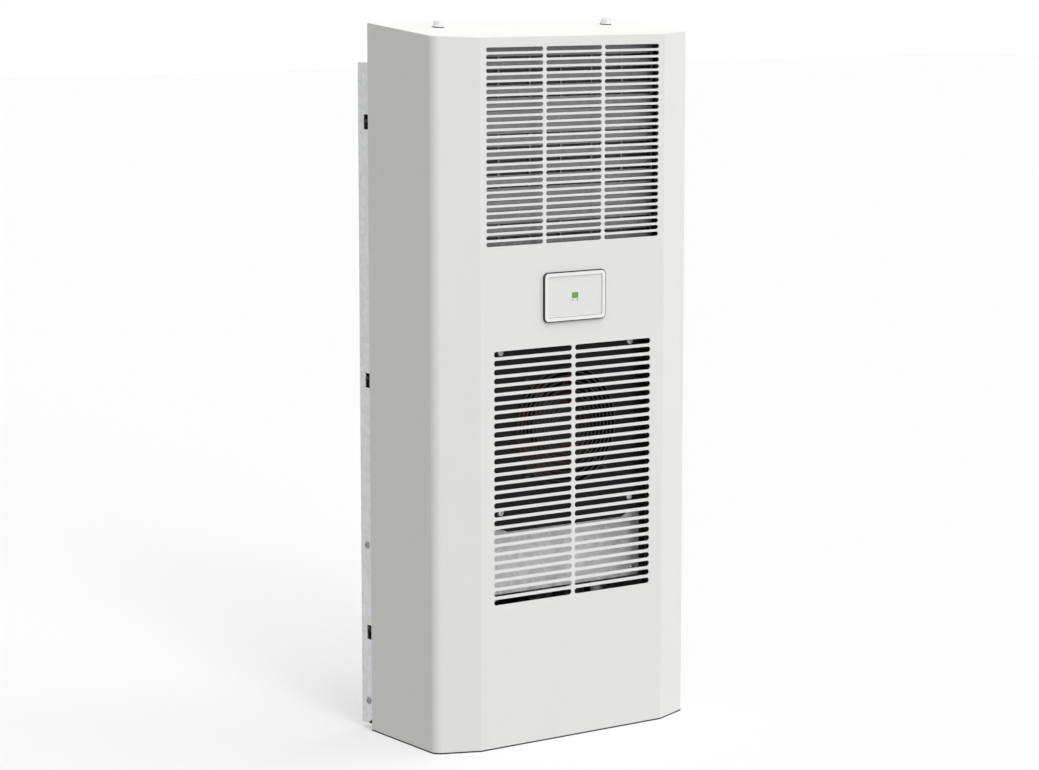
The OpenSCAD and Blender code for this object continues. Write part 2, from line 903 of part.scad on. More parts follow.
// End plates that reach from the guard to the chassis and stand on the fan box
module condenser_end_plates() {
    depth = chassis_front - guard_back;
    color(zinc) for (side = [-1, 1]) difference() {
        translate([side * (condenser_x + end_plate_t / 2), y_at(guard_back), condenser_base])
            translate([-end_plate_t / 2, 0, 0]) cube([end_plate_t, depth, condenser_h]);
        for (row = [-1, 1], k = [0:condenser_tubes_n - 1])
            translate([side * condenser_x, y_at(condenser_row_d) + row * row_gap / 2,
                tube_z(condenser_base, k)])
                rotate([0, 90, 0]) cylinder(h = 4 * end_plate_t, r = tube_r + collar_gap, center = true);
    }
}

// Outline of the fan plate, set in by a distance, up to a given height
function fan_outline(inset, top) =
    let (
        x = fan_plate_w / 2 - inset,
        base = fan_plate_base + inset,
        w = fan_plate_cut_w - inset / 2,
        h = fan_plate_cut_h - inset / 2
    )
    [[w - x, base], [x - w, base], [x, base + h], [x, top], [-x, top], [-x, base + h]];

module at_fan_screws(d) {
    for (sx = [-1, 1], sz = [-1, 1])
        about_y(sx * fan_screw_pitch / 2, d, fan_z + sz * fan_screw_pitch / 2) children();
}

// Sheet box that ducts the air from the condenser down to the axial fan
module fan_box() {
    color(zinc) difference() {
        union() {
            difference() {
                along_depth(fan_box_front, partition_d - fan_box_front)
                    polygon(fan_outline(0, condenser_base));
                along_depth(fan_box_front + fan_box_t, partition_d)
                    polygon(fan_outline(fan_box_t, condenser_base + over));
            }
            for (side = [0, 1]) mirror([side, 0, 0])
                block(fan_plate_w / 2 - fan_box_t / 2, condenser_x + end_plate_t, guard_d, partition_d,
                    condenser_base - fan_box_t, condenser_base);
            block(-fan_plate_w / 2 + fan_box_t, fan_plate_w / 2 - fan_box_t, fan_box_front, guard_back,
                condenser_base - fan_box_t, condenser_base);
        }
        about_y(0, fan_box_front - over, fan_z) cylinder(h = fan_box_t + 2 * over, r = fan_box_hole_r);
        at_fan_screws(fan_box_front - over) cylinder(h = fan_screw_l, r = fan_screw_r + hole_gap);
    }
}

// Black plate with the rolled nozzle that the axial impeller runs in
module fan_plate() {
    nozzle_r = fan_d / 2;
    color(dark) difference() {
        union() {
            along_depth(fan_plate_d, fan_plate_t) polygon(fan_outline(0, fan_plate_top));
            about_y(0, fan_plate_d, fan_z) cylinder(h = nozzle_l, r = nozzle_r + nozzle_t);
        }
        about_y(0, fan_plate_d - over, fan_z) cylinder(h = nozzle_l + 2 * over, r = nozzle_r);
        at_fan_screws(fan_plate_d - over) cylinder(h = fan_plate_t + 2 * over, r = fan_screw_r + hole_gap);
        at_guard_eyes(fan_plate_d - over) cylinder(h = fan_plate_t + 2 * over, r = guard_screw_r + hole_gap);
    }
}

module pan_screw(head_r, head_t, shank_r, shank_l) {
    translate([0, 0, -head_t]) cylinder(h = head_t, r1 = head_r * screw_crown_share, r2 = head_r);
    cylinder(h = shank_l, r = shank_r);
}

module fan_plate_screws() {
    color(steel) at_fan_screws(fan_plate_d)
        pan_screw(fan_screw_head_r, fan_screw_head_t, fan_screw_r,
            fan_screw_l - fan_box_front + fan_plate_d);
}

// Places of the eyes that hold the finger guard
module at_guard_eyes(d) {
    for (k = [0:spoke_count - 1]) let (a = 45 + k * 360 / spoke_count)
        about_y(spoke_reach * cos(a), d, fan_z + spoke_reach * sin(a)) children();
}

// Guard of concentric wire rings welded on flat spokes
module finger_guard() {
    step = (ring_last_r - ring_first_r) / (ring_count - 1);
    spoke_d = fan_plate_d - ring_wire_r;
    bar_l = spoke_reach - guard_screw_head_r - seat_gap - ring_first_r + ring_wire_r / 2;
    color(black) difference() {
        union() {
            about_y(0, spoke_d, fan_z) {
                for (i = [0:ring_count - 1])
                    rotate_extrude()
                        translate([ring_first_r + i * step, -ring_wire_r]) circle(r = ring_wire_r);
                for (k = [0:spoke_count - 1]) rotate([0, 0, 45 + k * 360 / spoke_count])
                    translate([ring_first_r - ring_wire_r / 2, -ring_wire_r, -ring_wire_r])
                        cube([bar_l, 2 * ring_wire_r, 2 * ring_wire_r]);
            }
            at_guard_eyes(fan_plate_d - eye_t) cylinder(h = eye_t, r = eye_r);
        }
        at_guard_eyes(fan_plate_d - eye_t - over)
            cylinder(h = eye_t + 2 * over, r = guard_screw_r + hole_gap);
    }
}

module finger_guard_screws() {
    color(dark) at_guard_eyes(fan_plate_d - eye_t)
        pan_screw(guard_screw_head_r, guard_screw_head_t, guard_screw_r, eye_t + fan_plate_t);
}

// Four bent rods that hold the motor behind the impeller
module fan_motor_bracket() {
    rear = motor_rear_d + arm_r;
    color(dark) difference() {
        union() {
            about_y(0, motor_rear_d, fan_z) cylinder(h = hub_disc_t, r = hub_disc_r);
            for (k = [0:spoke_count - 1]) about_y(0, fan_box_front, fan_z)
                rotate([0, 0, k * 360 / spoke_count]) translate([arm_place_r, 0, 0]) {
                    cylinder(h = rear - fan_box_front, r = arm_r);
                    cylinder(h = fan_box_t, r = arm_foot_r);
                    translate([0, 0, rear - fan_box_front]) rotate([0, -90, 0])
                        cylinder(h = arm_place_r - hub_disc_r / 2, r = arm_r);
                    translate([0, 0, rear - fan_box_front]) sphere(r = arm_r);
                }
        }
        about_y(0, motor_rear_d - over, fan_z) cylinder(h = over, r = hub_disc_r + over);
    }
}

// Stator of an external rotor motor: its flange at the rear, its bearing bore open to the front
module stator(flange_r, flange_t, core_r, core_l) {
    difference() {
        union() {
            translate([0, 0, -flange_t]) cylinder(h = flange_t, r = flange_r);
            translate([0, 0, -flange_t - core_l]) cylinder(h = core_l, r = core_r);
        }
        translate([0, 0, -flange_t - core_l - over])
            cylinder(h = shaft_bore_l + over, r = shaft_r + running_gap);
    }
}

// Rotor cup with its shaft, facing the stator
module rotor(r, wall, l, flange_t, core_l) {
    face = -flange_t - core_l - rotor_run;
    translate([0, 0, face - wall]) difference() {
        cylinder(h = l, r = r);
        translate([0, 0, wall]) cylinder(h = l, r = r - wall);
    }
    translate([0, 0, face]) cylinder(h = shaft_bore_l + rotor_run - over, r = shaft_r);
}

module fan_motor() {
    color(dark) about_y(0, motor_rear_d, fan_z)
        stator(stator_flange_r, stator_flange_t, stator_core_r, stator_core_l);
}

module fan_rotor() {
    color(dark) about_y(0, motor_rear_d, fan_z)
        rotor(rotor_r, rotor_wall, rotor_l - rotor_run, stator_flange_t, stator_core_l);
}

// Cambered, pitched blades on a ring that is pressed on the rotor
module fan_impeller() {
    tip_r = fan_d / 2 - axial_tip_gap;
    root_r = rotor_r + blade_ring_t;
    front = -stator_flange_t - stator_core_l - rotor_run - rotor_wall;
    half = blade_chord / 2;
    arc = 2 * atan(2 * blade_camber / blade_chord);
    arc_r = half / sin(arc);
    color(black) about_y(0, motor_rear_d, fan_z) translate([0, 0, front]) {
        ring(root_r, rotor_r, axial_depth - 2 * rotor_run);
        for (k = [0:fan_blades - 1]) rotate([0, 0, k * 360 / fan_blades]) intersection() {
            translate([0, 0, -rotor_run]) ring(tip_r, root_r - blade_ring_t / 2, axial_depth);
            translate([0, 0, axial_depth / 2 - rotor_run]) rotate([90, 0, 90]) linear_extrude(tip_r)
                rotate(blade_pitch) translate([0, -arc_r * cos(arc)]) polygon(concat(
                    [for (i = [-bend_steps:bend_steps]) let (a = 90 + arc * i / bend_steps)
                        (arc_r + blade_t / 2) * [cos(a), sin(a)]],
                    [for (i = [bend_steps:-1:-bend_steps]) let (a = 90 + arc * i / bend_steps)
                        (arc_r - blade_t / 2) * [cos(a), sin(a)]]));
        }
    }
}

// Electrical box, open at the front, with its control board, capacitor and lid
module electrical_box() {
    color(zinc) difference() {
        union() {
            difference() {
                block(-box_x, box_x, box_front, partition_d, box_base, box_top);
                block(box_t - box_x, box_x - box_t, box_front - over, partition_d - box_t, box_base + box_t,
                    box_top - box_t);
            }
            at_lid_screws(box_front) cylinder(h = lid_screw_l, r = lid_boss_r);
        }
        at_lid_screws(box_front - over) cylinder(h = lid_screw_l, r = lid_screw_r + hole_gap);
    }
}

module at_lid_screws(d) {
    z = (box_base + box_top) / 2;
    for (sx = [-1, 1], sz = [-1, 1])
        about_y(sx * (box_x - lid_screw_inset_x), d, z + sz * ((box_top - box_base) / 2 - lid_screw_inset_z))
            children();
}

module electrical_lid() {
    z = (box_base + box_top) / 2;
    color(zinc) difference() {
        translate([0, 0, z]) along_depth(box_front - lid_t, lid_t)
            polygon(round_rect(2 * box_x + 2 * lid_edge, box_top - box_base + 2 * lid_edge, lid_edge));
        at_lid_screws(box_front - lid_t - over) cylinder(h = lid_t + 2 * over, r = lid_screw_r + hole_gap);
    }
}

module lid_screws() {
    color(steel) at_lid_screws(box_front - lid_t)
        pan_screw(lid_screw_head_r, lid_screw_head_t, lid_screw_r, lid_screw_l);
}

// Board on four posts, with its transformer, relays and terminals
module control_board() {
    z = (box_base + box_top) / 2;
    back = partition_d - box_t;
    face = back - board_stand - board_t;
    color([0.12, 0.36, 0.2]) {
        block(board_x - board_w / 2, board_x + board_w / 2, face, face + board_t,
            z - board_h / 2, z + board_h / 2);
        for (sx = [-1, 1], sz = [-1, 1])
            about_y(board_x + sx * (board_w / 2 - 2 * post_r), face + board_t,
                z + sz * (board_h / 2 - 2 * post_r))
                cylinder(h = board_stand, r = post_r);
    }
    color(dark) for (i = [0:relay_count - 1]) let (x = board_x - board_w / 2 + 3 * post_r + i * relay_step)
        block(x, x + relay_w, face - relay_h, face, z, z + relay_d);
    color(dark) block(board_x + board_w / 4, board_x + board_w / 4 + transformer_w,
        face - transformer_d, face,
        z - transformer_h / 2, z + transformer_h / 2);
    color([0.15, 0.5, 0.25]) block(board_x - terminal_w, board_x, face - terminal_d, face,
        z - board_h / 2, z - board_h / 2 + terminal_h);
}

module run_capacitor() {
    z = box_base + box_t + capacitor_r;
    color(steel) translate([capacitor_x, y_at(partition_d - box_t - capacitor_r), z]) rotate([0, 90, 0]) {
        cylinder(h = capacitor_l, r = capacitor_r);
        translate([0, 0, capacitor_l]) cylinder(h = box_t, r = capacitor_r / 2);
    }
}

// Steel can with two dished ends, drawn about its own axis
module shell_can(r, h, dome) {
    crown_r = (r * r + dome * dome) / (2 * dome);
    rotate_extrude() {
        translate([0, dome]) square([r, h - 2 * dome]);
        intersection() {
            translate([0, crown_r]) circle(r = crown_r);
            square([r, dome]);
        }
        intersection() {
            translate([0, h - crown_r]) circle(r = crown_r);
            translate([0, h - dome]) square([r, dome]);
        }
    }
}

// Directions and places of the three compressor feet, the first to the front
function foot_turn(k) = k * 120 - 90;

module at_foot(k) {
    a = foot_turn(k);
    translate([comp_x + comp_foot_r * cos(a), y_at(comp_d) + comp_foot_r * sin(a), 0])
        rotate([0, 0, a]) children();
}

module compressor() {
    color(black) difference() {
        union() {
            translate([comp_x, y_at(comp_d), comp_base]) {
                shell_can(comp_r, comp_h, comp_dome);
                translate([0, 0, comp_h - comp_dome - comp_seam_h])
                    cylinder(h = comp_seam_h, r = comp_seam_r);
                translate([0, 0, comp_foot_z - comp_base]) cylinder(h = comp_dome, r = comp_r / 2);
                translate([comp_stub_x, 0, comp_h - comp_dome])
                    cylinder(h = comp_stub_top - comp_base - comp_h + comp_dome, r = comp_stub_r);
            }
            translate([comp_x, y_at(comp_d), comp_foot_z]) linear_extrude(comp_foot_t)
                for (k = [0:2]) rotate(foot_turn(k)) {
                    translate([comp_foot_r, 0]) circle(r = comp_foot_lobe);
                    translate([0, -comp_foot_arm / 2]) square([comp_foot_r, comp_foot_arm]);
                }
            translate([comp_x, y_at(accum_d), accum_link_z]) rotate([0, 90, 0])
                cylinder(h = accum_x - comp_x - accum_r / 2, r = tube_r);
        }
        for (k = [0:2]) at_foot(k) translate([0, 0, comp_foot_z - over])
            cylinder(h = comp_foot_t + 2 * over, r = grommet_neck_r + hole_gap);
        translate([accum_x, y_at(accum_d), accum_base - over]) cylinder(h = accum_h, r = accum_r + hole_gap);
    }
}

module compressor_cap() {
    color(dark) translate([comp_x, y_at(comp_d), comp_base + comp_h]) difference() {
        translate([0, 0, -cap_h / 4]) cylinder(h = cap_h, r = cap_r);
        translate([0, 0, -comp_h]) shell_can(comp_r, comp_h, comp_dome);
    }
}

module compressor_grommets() {
    color(black) for (k = [0:2]) at_foot(k) translate([0, 0, tray_t]) {
        rim = comp_foot_z - tray_t;
        ring(grommet_r, stud_r + collar_gap, rim);
        ring(grommet_neck_r, stud_r + collar_gap, rim + comp_foot_t + hole_gap);
        translate([0, 0, rim + comp_foot_t]) ring(grommet_r, stud_r + collar_gap, grommet_collar);
    }
}

// Studs from the base tray, each with its washer and nut
module compressor_studs() {
    top = comp_foot_z + comp_foot_t + grommet_collar;
    color(steel) for (k = [0:2]) at_foot(k) {
        cylinder(h = stud_h, r = stud_r);
        translate([0, 0, top]) cylinder(h = stud_washer_t, r = stud_washer_r);
        translate([0, 0, top + stud_washer_t]) hex(stud_nut_af, stud_nut_h);
    }
}

module accumulator() {
    color(black) translate([accum_x, y_at(accum_d), accum_base]) {
        shell_can(accum_r, accum_h, accum_dome);
        translate([0, 0, accum_h - accum_dome])
            cylinder(h = accum_stub_top - accum_base - accum_h + accum_dome, r = comp_stub_r);
    }
}

module filter_drier() {
    color(black) translate([condenser_header_low_x, y_at(condenser_row_d), drier_base]) {
        cylinder(h = drier_h, r = drier_r);
        translate([0, 0, -drier_neck_h]) cylinder(h = drier_neck_h, r = drier_neck_r);
        translate([0, 0, drier_h]) cylinder(h = drier_neck_h, r = drier_neck_r);
    }
}

// Places a form with its own X, Y and Z along three unit vectors
module framed(origin, ux, uy, uz) {
    multmatrix([[ux[0], uy[0], uz[0], origin[0]], [ux[1], uy[1], uz[1], origin[1]],
        [ux[2], uy[2], uz[2], origin[2]], [0, 0, 0, 1]]) children();
}

// A tube along square runs through a list of points, with round bends
module tube_run(points) {
    n = len(points);
    for (i = [0:n - 2]) let (
        u = unit(points[i + 1] - points[i]),
        lead = i == 0 ? 0 : line_bend,
        tail = i == n - 2 ? 0 : line_bend,
        side = abs(u[2]) > abs(u[0]) + abs(u[1]) ? [1, 0, 0] : [0, 0, 1],
        v = cross(side, u)
    )
        framed(points[i] + lead * u, cross(v, u), v, u)
            cylinder(h = norm(points[i + 1] - points[i]) - lead - tail, r = tube_r);
    if (n > 2) for (i = [1:n - 2]) let (
        a = unit(points[i] - points[i - 1]),
        b = unit(points[i + 1] - points[i])
    )
        framed(points[i] + line_bend * (b - a), -b, a, cross(a, b))
            rotate_extrude(angle = 90) translate([line_bend, 0]) circle(r = tube_r);
}

module discharge_line() {
    x0 = comp_x + comp_stub_x;
    top = tube_z(condenser_base, condenser_tubes_n - 1) - header_boss;
    color(black) tube_run([
        [x0, y_at(comp_d), comp_stub_top],
        [x0, y_at(comp_d), discharge_z],
        [-condenser_header_high_x, y_at(comp_d), discharge_z],
        [-condenser_header_high_x, y_at(condenser_row_d), discharge_z],
        [-condenser_header_high_x, y_at(condenser_row_d), top]]);
}

module liquid_line() {
    x = condenser_header_low_x;
    y = y_at(condenser_row_d);
    z_end = tube_z(evap_base, 0);
    color(black) {
        tube_run([
            [x, y, tube_z(condenser_base, 0) - header_boss],
            [x, y, drier_base + drier_h + drier_neck_h]]);
        tube_run([
            [x, y, drier_base - drier_neck_h],
            [x, y, liquid_low_z],
            [x, y_at(riser_d), liquid_low_z],
            [x, y_at(riser_d), z_end],
            [x, y_at(evap_port_d), z_end]]);
    }
}

module suction_line() {
    z_top = tube_z(evap_base, evaporator_tubes_n - 1);
    color(copper) tube_run([
        [-evap_header_x, y_at(evap_port_d), z_top],
        [-evap_header_x, y_at(riser_d), z_top],
        [-evap_header_x, y_at(riser_d), suction_z],
        [accum_x, y_at(riser_d), suction_z],
        [accum_x, y_at(accum_d), suction_z],
        [accum_x, y_at(accum_d), accum_stub_top]]);
}

// Valve body round the liquid riser, with its sensing head
module expansion_valve() {
    color([0.75, 0.62, 0.35]) translate([evap_header_x, y_at(riser_d), valve_z]) difference() {
        union() {
            translate([-valve_half, -valve_half, 0]) cube([2 * valve_half, 2 * valve_half, valve_h]);
            translate([0, 0, valve_h / 2]) rotate([0, -90, 0]) {
                cylinder(h = valve_half + valve_neck_l, r = valve_neck_r);
                translate([0, 0, valve_half + valve_neck_l]) cylinder(h = valve_head_h, r = valve_head_r);
            }
        }
        translate([0, 0, -over]) cylinder(h = valve_h + 2 * over, r = tube_r + collar_gap);
    }
}

// Foam frame of the inner circuit, bonded from four boards. A foam panel closes its front and the
// chassis wall its rear
module evaporator_housing() {
    inner_x = cavity_x - hole_gap;
    color(foam) difference() {
        union() {
            for (side = [0, 1]) mirror([side, 0, 0])
                block(cavity_x, housing_x, cavity_front, wall_d, housing_base, housing_top);
            block(-inner_x, inner_x, cavity_front, wall_d, housing_base, cavity_base);
            block(-inner_x, inner_x, cavity_front, wall_d, housing_top - housing_wall, housing_top);
        }
        shelf_holes(housing_base);
    }
}

module housing_panel() {
    color(foam) block(-housing_x, housing_x, housing_front, cavity_front, housing_base, housing_top);
}

module evaporator_fins() {
    fin_pack(evap_x, evaporator_fins_n, evap_row_d, evap_base, evap_h, evaporator_tubes_n);
}

module evaporator_tubes() {
    color(copper) coil_tubes(evap_x + end_plate_t, evap_row_d, evap_base, evaporator_tubes_n,
        evap_header_x, evap_header_x, 0);
}

module evaporator_end_plates() {
    color(zinc) for (side = [-1, 1])
        coil_plate(side * (evap_x + end_plate_t / 2), end_plate_t, fin_d, evap_row_d, evap_base, evap_h,
            evaporator_tubes_n, collar_gap);
}

// Plate that closes the gap between the top of the evaporator and the rear wall
module air_baffle() {
    color(zinc) block(-cavity_x, cavity_x, evap_row_d - fin_d / 2, wall_d, evap_base + evap_h,
        evap_base + evap_h + baffle_t);
}

module drain_pan() {
    color(dark) difference() {
        union() {
            difference() {
                block(-cavity_x, cavity_x, cavity_front, pan_back, pan_base, pan_base + pan_h);
                block(pan_t - cavity_x, cavity_x - pan_t, cavity_front + pan_t, pan_back - pan_t,
                    pan_base + pan_t, pan_base + pan_h + over);
            }
            translate([drain_x, y_at(drain_d), pan_base - spout_l])
                cylinder(h = spout_l + pan_t, r = spout_r);
        }
        translate([drain_x, y_at(drain_d), pan_base - spout_l - over])
            cylinder(h = spout_l + pan_t + 2 * over, r = spout_bore_r);
    }
}

module drain_tube() {
    color(black) translate([drain_x, y_at(drain_d), tray_t])
        ring(spout_r + drain_wall, spout_r, pan_base - tray_t);
}

// Flared ring that leads the enclosure air into the radial impeller
module inlet_ring() {
    mouth_r = inlet_d / 2;
    run = wall_d - ring_flange_t - ring_throat_d;
    flare = mouth_r - ring_throat_r;
    color(steel) about_y(0, ring_throat_d, inlet_z) rotate_extrude() polygon(concat(
        [for (i = [0:bend_steps]) let (a = 90 * i / bend_steps)
            [ring_throat_r + flare * (1 - cos(a)), (run + ring_flange_t) * sin(a)]],
        [[ring_flange_r, run + ring_flange_t], [ring_flange_r, run]],
        [for (i = [bend_steps:-1:0]) let (a = 90 * i / bend_steps)
            [ring_throat_r + ring_wall + (flare - ring_wall) * (1 - cos(a)), run * sin(a)]]));
}

module radial_fan_bracket() {
    color(zinc) translate([0, 0, inlet_z]) along_depth(cavity_front, radial_bracket_t)
        polygon(round_rect(radial_bracket_w, radial_bracket_w, gasket_r));
}

module at_radial() {
    about_y(0, cavity_front + radial_bracket_t, inlet_z) mirror([0, 0, 1]) children();
}

module radial_fan_motor() {
    color(dark) at_radial() stator(radial_flange_r, radial_flange_t, radial_core_r, radial_core_l);
}

module radial_fan_rotor() {
    color(dark) at_radial()
        rotor(radial_rotor_r, radial_rotor_wall, radial_rotor_l - rotor_run, radial_flange_t, radial_core_l);
}

// Backward curved blades between a back plate and a shroud with a drawn eye
module radial_impeller() {
    face = radial_flange_t + radial_core_l + rotor_run + radial_rotor_wall;
    outer = radial_d / 2;
    blade_r = outer * radial_blade_arc_share;
    inner = outer * radial_blade_in_share;
    color(steel) about_y(0, cavity_front + radial_bracket_t + face - radial_plate_t, inlet_z) {
        ring(outer, radial_rotor_r, radial_plate_t);
        translate([0, 0, radial_plate_t + radial_blade_h]) rotate_extrude() {
            translate([radial_mouth_r, 0]) square([outer - radial_mouth_r, radial_plate_t]);
            difference() {
                translate([radial_eye_r, 0]) square([radial_mouth_r - radial_eye_r, radial_eye_l]);
                translate([radial_mouth_r + radial_plate_t, radial_eye_l + radial_plate_t])
                    circle(r = radial_eye_l + radial_plate_t / 2);
            }
        }
        for (k = [0:radial_blades - 1]) rotate([0, 0, k * 360 / radial_blades])
            translate([0, 0, radial_plate_t]) linear_extrude(radial_blade_h) intersection() {
                difference() {
                    circle(r = outer - radial_blade_rim);
                    circle(r = inner);
                }
                translate([0, blade_r]) difference() {
                    circle(r = blade_r + radial_blade_t / 2);
                    circle(r = blade_r - radial_blade_t / 2);
                }
                square(outer);
            }
    }
}

module power_connector() {
    step = (plug_w - 2 * plug_rim) / plug_ways;
    front = body_d - plug_l;
    color(dark) translate([plug_x, 0, plug_z]) difference() {
        union() {
            along_depth(front, plug_l) square([plug_w, plug_h], center = true);
            along_depth(body_d, plug_rim_t)
                square([plug_w + 2 * plug_rim, plug_h + 2 * plug_rim], center = true);
        }
        along_depth(body_d + plug_rim_t - plug_way_d, plug_way_d + over) for (i = [0:plug_ways - 1])
            translate([(i + 0.5 - plug_ways / 2) * step, 0]) square([plug_way_w, plug_way_h], center = true);
    }
}

// Display: white frame on the collar of a black case, with a sunk panel, a lamp and dots
module at_display(d, run) {
    translate([0, 0, display_z]) along_depth(d, run) children();
}

// Opening of the frame and pocket of the case that hold the panel, set in by a gap
module panel_outline(gap) {
    rim = display_rim + gap;
    polygon(round_rect(display_w - 2 * rim, display_h - 2 * rim, display_skin));
}

module display_frame() {
    color(white) difference() {
        at_display(-display_proud, display_frame_t) polygon(round_rect(display_w - 2 * display_collar,
            display_h - 2 * display_collar, display_r - display_collar));
        at_display(-display_proud - over, display_frame_t + 2 * over) panel_outline(0);
    }
}

module display_panel() {
    color([0.89, 0.89, 0.88]) difference() {
        at_display(display_recess - display_proud, display_panel_t) panel_outline(display_panel_gap);
        at_display(display_recess - display_proud - over, display_panel_t + 2 * over) {
            translate([0, led_z]) square([led_w + 2 * hole_gap, led_h + 2 * hole_gap], center = true);
            at_dots() circle(r = dot_r + hole_gap);
        }
    }
}

module at_dots() {
    for (side = [-1, 1]) translate([side * dot_gap / 2, dot_z]) children();
}

module display_case() {
    front = display_frame_t - display_proud;
    color(dark) difference() {
        union() {
            at_display(front, -front) polygon(round_rect(display_w, display_h, display_r));
            at_display(0, display_case_d)
                square([display_case_w - 2 * hole_gap, display_case_h - 2 * hole_gap], center = true);
        }
        at_display(front - over, display_recess + display_panel_t - display_frame_t + over) panel_outline(0);
        at_display(0, display_case_d + over) square([display_case_w - 2 * display_case_wall,
            display_case_h - 2 * display_case_wall], center = true);
    }
}

module status_led() {
    color([0.45, 0.64, 0.31])
        at_display(display_recess - display_proud - led_proud, display_panel_t + led_proud)
            translate([0, led_z]) square([led_w, led_h], center = true);
}

module indicator_dots() {
    color([0.5, 0.55, 0.45])
        at_display(display_recess - display_proud - led_proud / 2, display_panel_t + led_proud / 2)
            at_dots() circle(r = dot_r);
}

cover_hood();
roof_bolts();
roof_washers();
roof_brackets();
roof_nuts();
chassis();
side_panels();
base_tray();
side_rivets();
mounting_nuts();
rear_gasket();
partition();
housing_shelf();
coil_guard();
condenser_fins();
condenser_tubes();
condenser_end_plates();
fan_box();
fan_plate();
fan_plate_screws();
finger_guard();
finger_guard_screws();
fan_motor_bracket();
fan_motor();
fan_rotor();
fan_impeller();
electrical_box();
electrical_lid();
lid_screws();
control_board();
run_capacitor();
compressor();
compressor_cap();
compressor_grommets();
compressor_studs();
accumulator();
filter_drier();
discharge_line();
liquid_line();
suction_line();
expansion_valve();
evaporator_housing();
housing_panel();
evaporator_fins();
evaporator_tubes();
evaporator_end_plates();
air_baffle();
drain_pan();
drain_tube();
inlet_ring();
radial_fan_bracket();
radial_fan_motor();
radial_fan_rotor();
radial_impeller();
power_connector();
display_frame();
display_panel();
display_case();
status_led();
indicator_dots();
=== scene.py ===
"""Finishes and fine detail for an enclosure cooling unit, laid out as a Blender add-on."""

import math

import bmesh
import bpy
from mathutils import Matrix, Vector


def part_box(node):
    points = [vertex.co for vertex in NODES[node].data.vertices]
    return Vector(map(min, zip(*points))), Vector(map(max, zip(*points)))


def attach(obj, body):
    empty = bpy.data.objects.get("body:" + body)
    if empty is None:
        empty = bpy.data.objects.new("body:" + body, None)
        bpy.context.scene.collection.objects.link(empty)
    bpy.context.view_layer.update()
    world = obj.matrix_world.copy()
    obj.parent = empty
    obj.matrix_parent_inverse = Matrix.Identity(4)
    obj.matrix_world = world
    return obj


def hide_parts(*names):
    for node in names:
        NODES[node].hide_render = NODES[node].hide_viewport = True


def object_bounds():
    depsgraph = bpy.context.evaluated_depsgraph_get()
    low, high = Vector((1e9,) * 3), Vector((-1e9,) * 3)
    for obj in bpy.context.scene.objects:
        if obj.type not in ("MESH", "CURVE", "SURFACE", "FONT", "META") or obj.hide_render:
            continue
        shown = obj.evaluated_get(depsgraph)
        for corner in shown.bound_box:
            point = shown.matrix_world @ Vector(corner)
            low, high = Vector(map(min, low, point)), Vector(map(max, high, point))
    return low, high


bl_info = {
    "name": "Enclosure Cooling Unit",
    "version": (1, 0, 0),
    "blender": (4, 5, 0),
    "location": "View3D > Sidebar > Cooling Unit",
    "description": "Finishes, fins, screws and studio for a slim enclosure cooling unit",
    "category": "Object",
}

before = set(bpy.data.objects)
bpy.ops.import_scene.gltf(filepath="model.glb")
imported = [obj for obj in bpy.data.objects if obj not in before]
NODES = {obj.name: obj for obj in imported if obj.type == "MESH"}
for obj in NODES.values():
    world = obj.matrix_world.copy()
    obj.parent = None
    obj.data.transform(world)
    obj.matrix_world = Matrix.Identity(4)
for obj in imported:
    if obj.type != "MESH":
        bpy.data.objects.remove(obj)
CAD_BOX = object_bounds()

MM = 0.001
CASE = "unit"  # the body that carries everything but the two rotors

# Edges and turned forms.
EDGE_ANGLE = math.radians(40)  # edges sharper than this are rounded by soften
CRISP_ANGLE = math.radians(35)  # edges sharper than this stay crisp in the shading
EDGE_STEPS = 2  # faces across a rounded edge
TURN_STEPS = 28  # faces round a turned form

# Screws and rivets.
RIM_SHARE = 0.98  # points this near the largest radius lie on the head's rim
TIP_LENGTH = 0.1 * MM  # points this near the shank's end give its radius
CROWN_STEPS = 6  # steps up a domed head
CROWN_START = 0.35  # where the dome starts, as a share of the head's height
RECESS_TAPER = 0.5  # width of a cross recess at its floor, as a share of its mouth
RECESS_MOUTH = 2  # the recess's cutter ends this many head heights up, clear of the dome
RIVET_DOME = math.radians(68)  # how far the dome closes over the mandrel
MANDREL_WALL = 1 / 2  # depth of the hole's wall, as a share of the head's height
MANDREL_TIP = 1 / 3  # depth of the mandrel's tip, as a share of the head's height

FIN_FOLDS = 8  # folds across a fin

# Surface patterns. One that is too fine to show is drawn coarser than life, as its comment says.
WAVE_UNIT = 0.05  # a wave texture of this scale turns one radian a metre
SPRAY_PEEL = 1.6 * MM  # orange peel of thick enamel, as in life
MOULD_GRAIN = 0.6 * MM  # spark-eroded grain is about 0.05 mm: drawn this coarse to show
RUBBER_CELL = 1.2 * MM  # open cells are about 0.3 mm: drawn this coarse to show
FROST_SHARE = 1 / 8  # frost in a crystal is finer than 0.1 mm: drawn at this share of a crystal
FIN_LINES = 2 * MM  # roll lines lie about 0.05 mm apart: one radian of the drawn ones, to show
CAN_LINES = 1 * MM  # die lines lie about 0.05 mm apart: one radian of the drawn ones, to show
BRASS_RINGS = MM / 1.2  # tool rings lie about 0.1 mm apart: one radian of the drawn ones, to show
TRACK_SCALE = 60.0  # gives copper runs 8 mm long and 4 mm apart, as on a power board
DULL_METAL = 0.25  # metal share of zinc gone matt, which mirrors little

STRIP_LAMPS = 5  # lamps that together make the tall narrow light
WHITE = (1.0, 1.0, 1.0, 1.0)


def linear(hex_colour):
    """Turns an sRGB hex colour such as #E4E4E2 into linear red, green and blue."""
    values = [int(hex_colour[i:i + 2], 16) / 255 for i in (1, 3, 5)]
    return [v / 12.92 if v <= 0.04045 else ((v + 0.055) / 1.055) ** 2.4 for v in values]


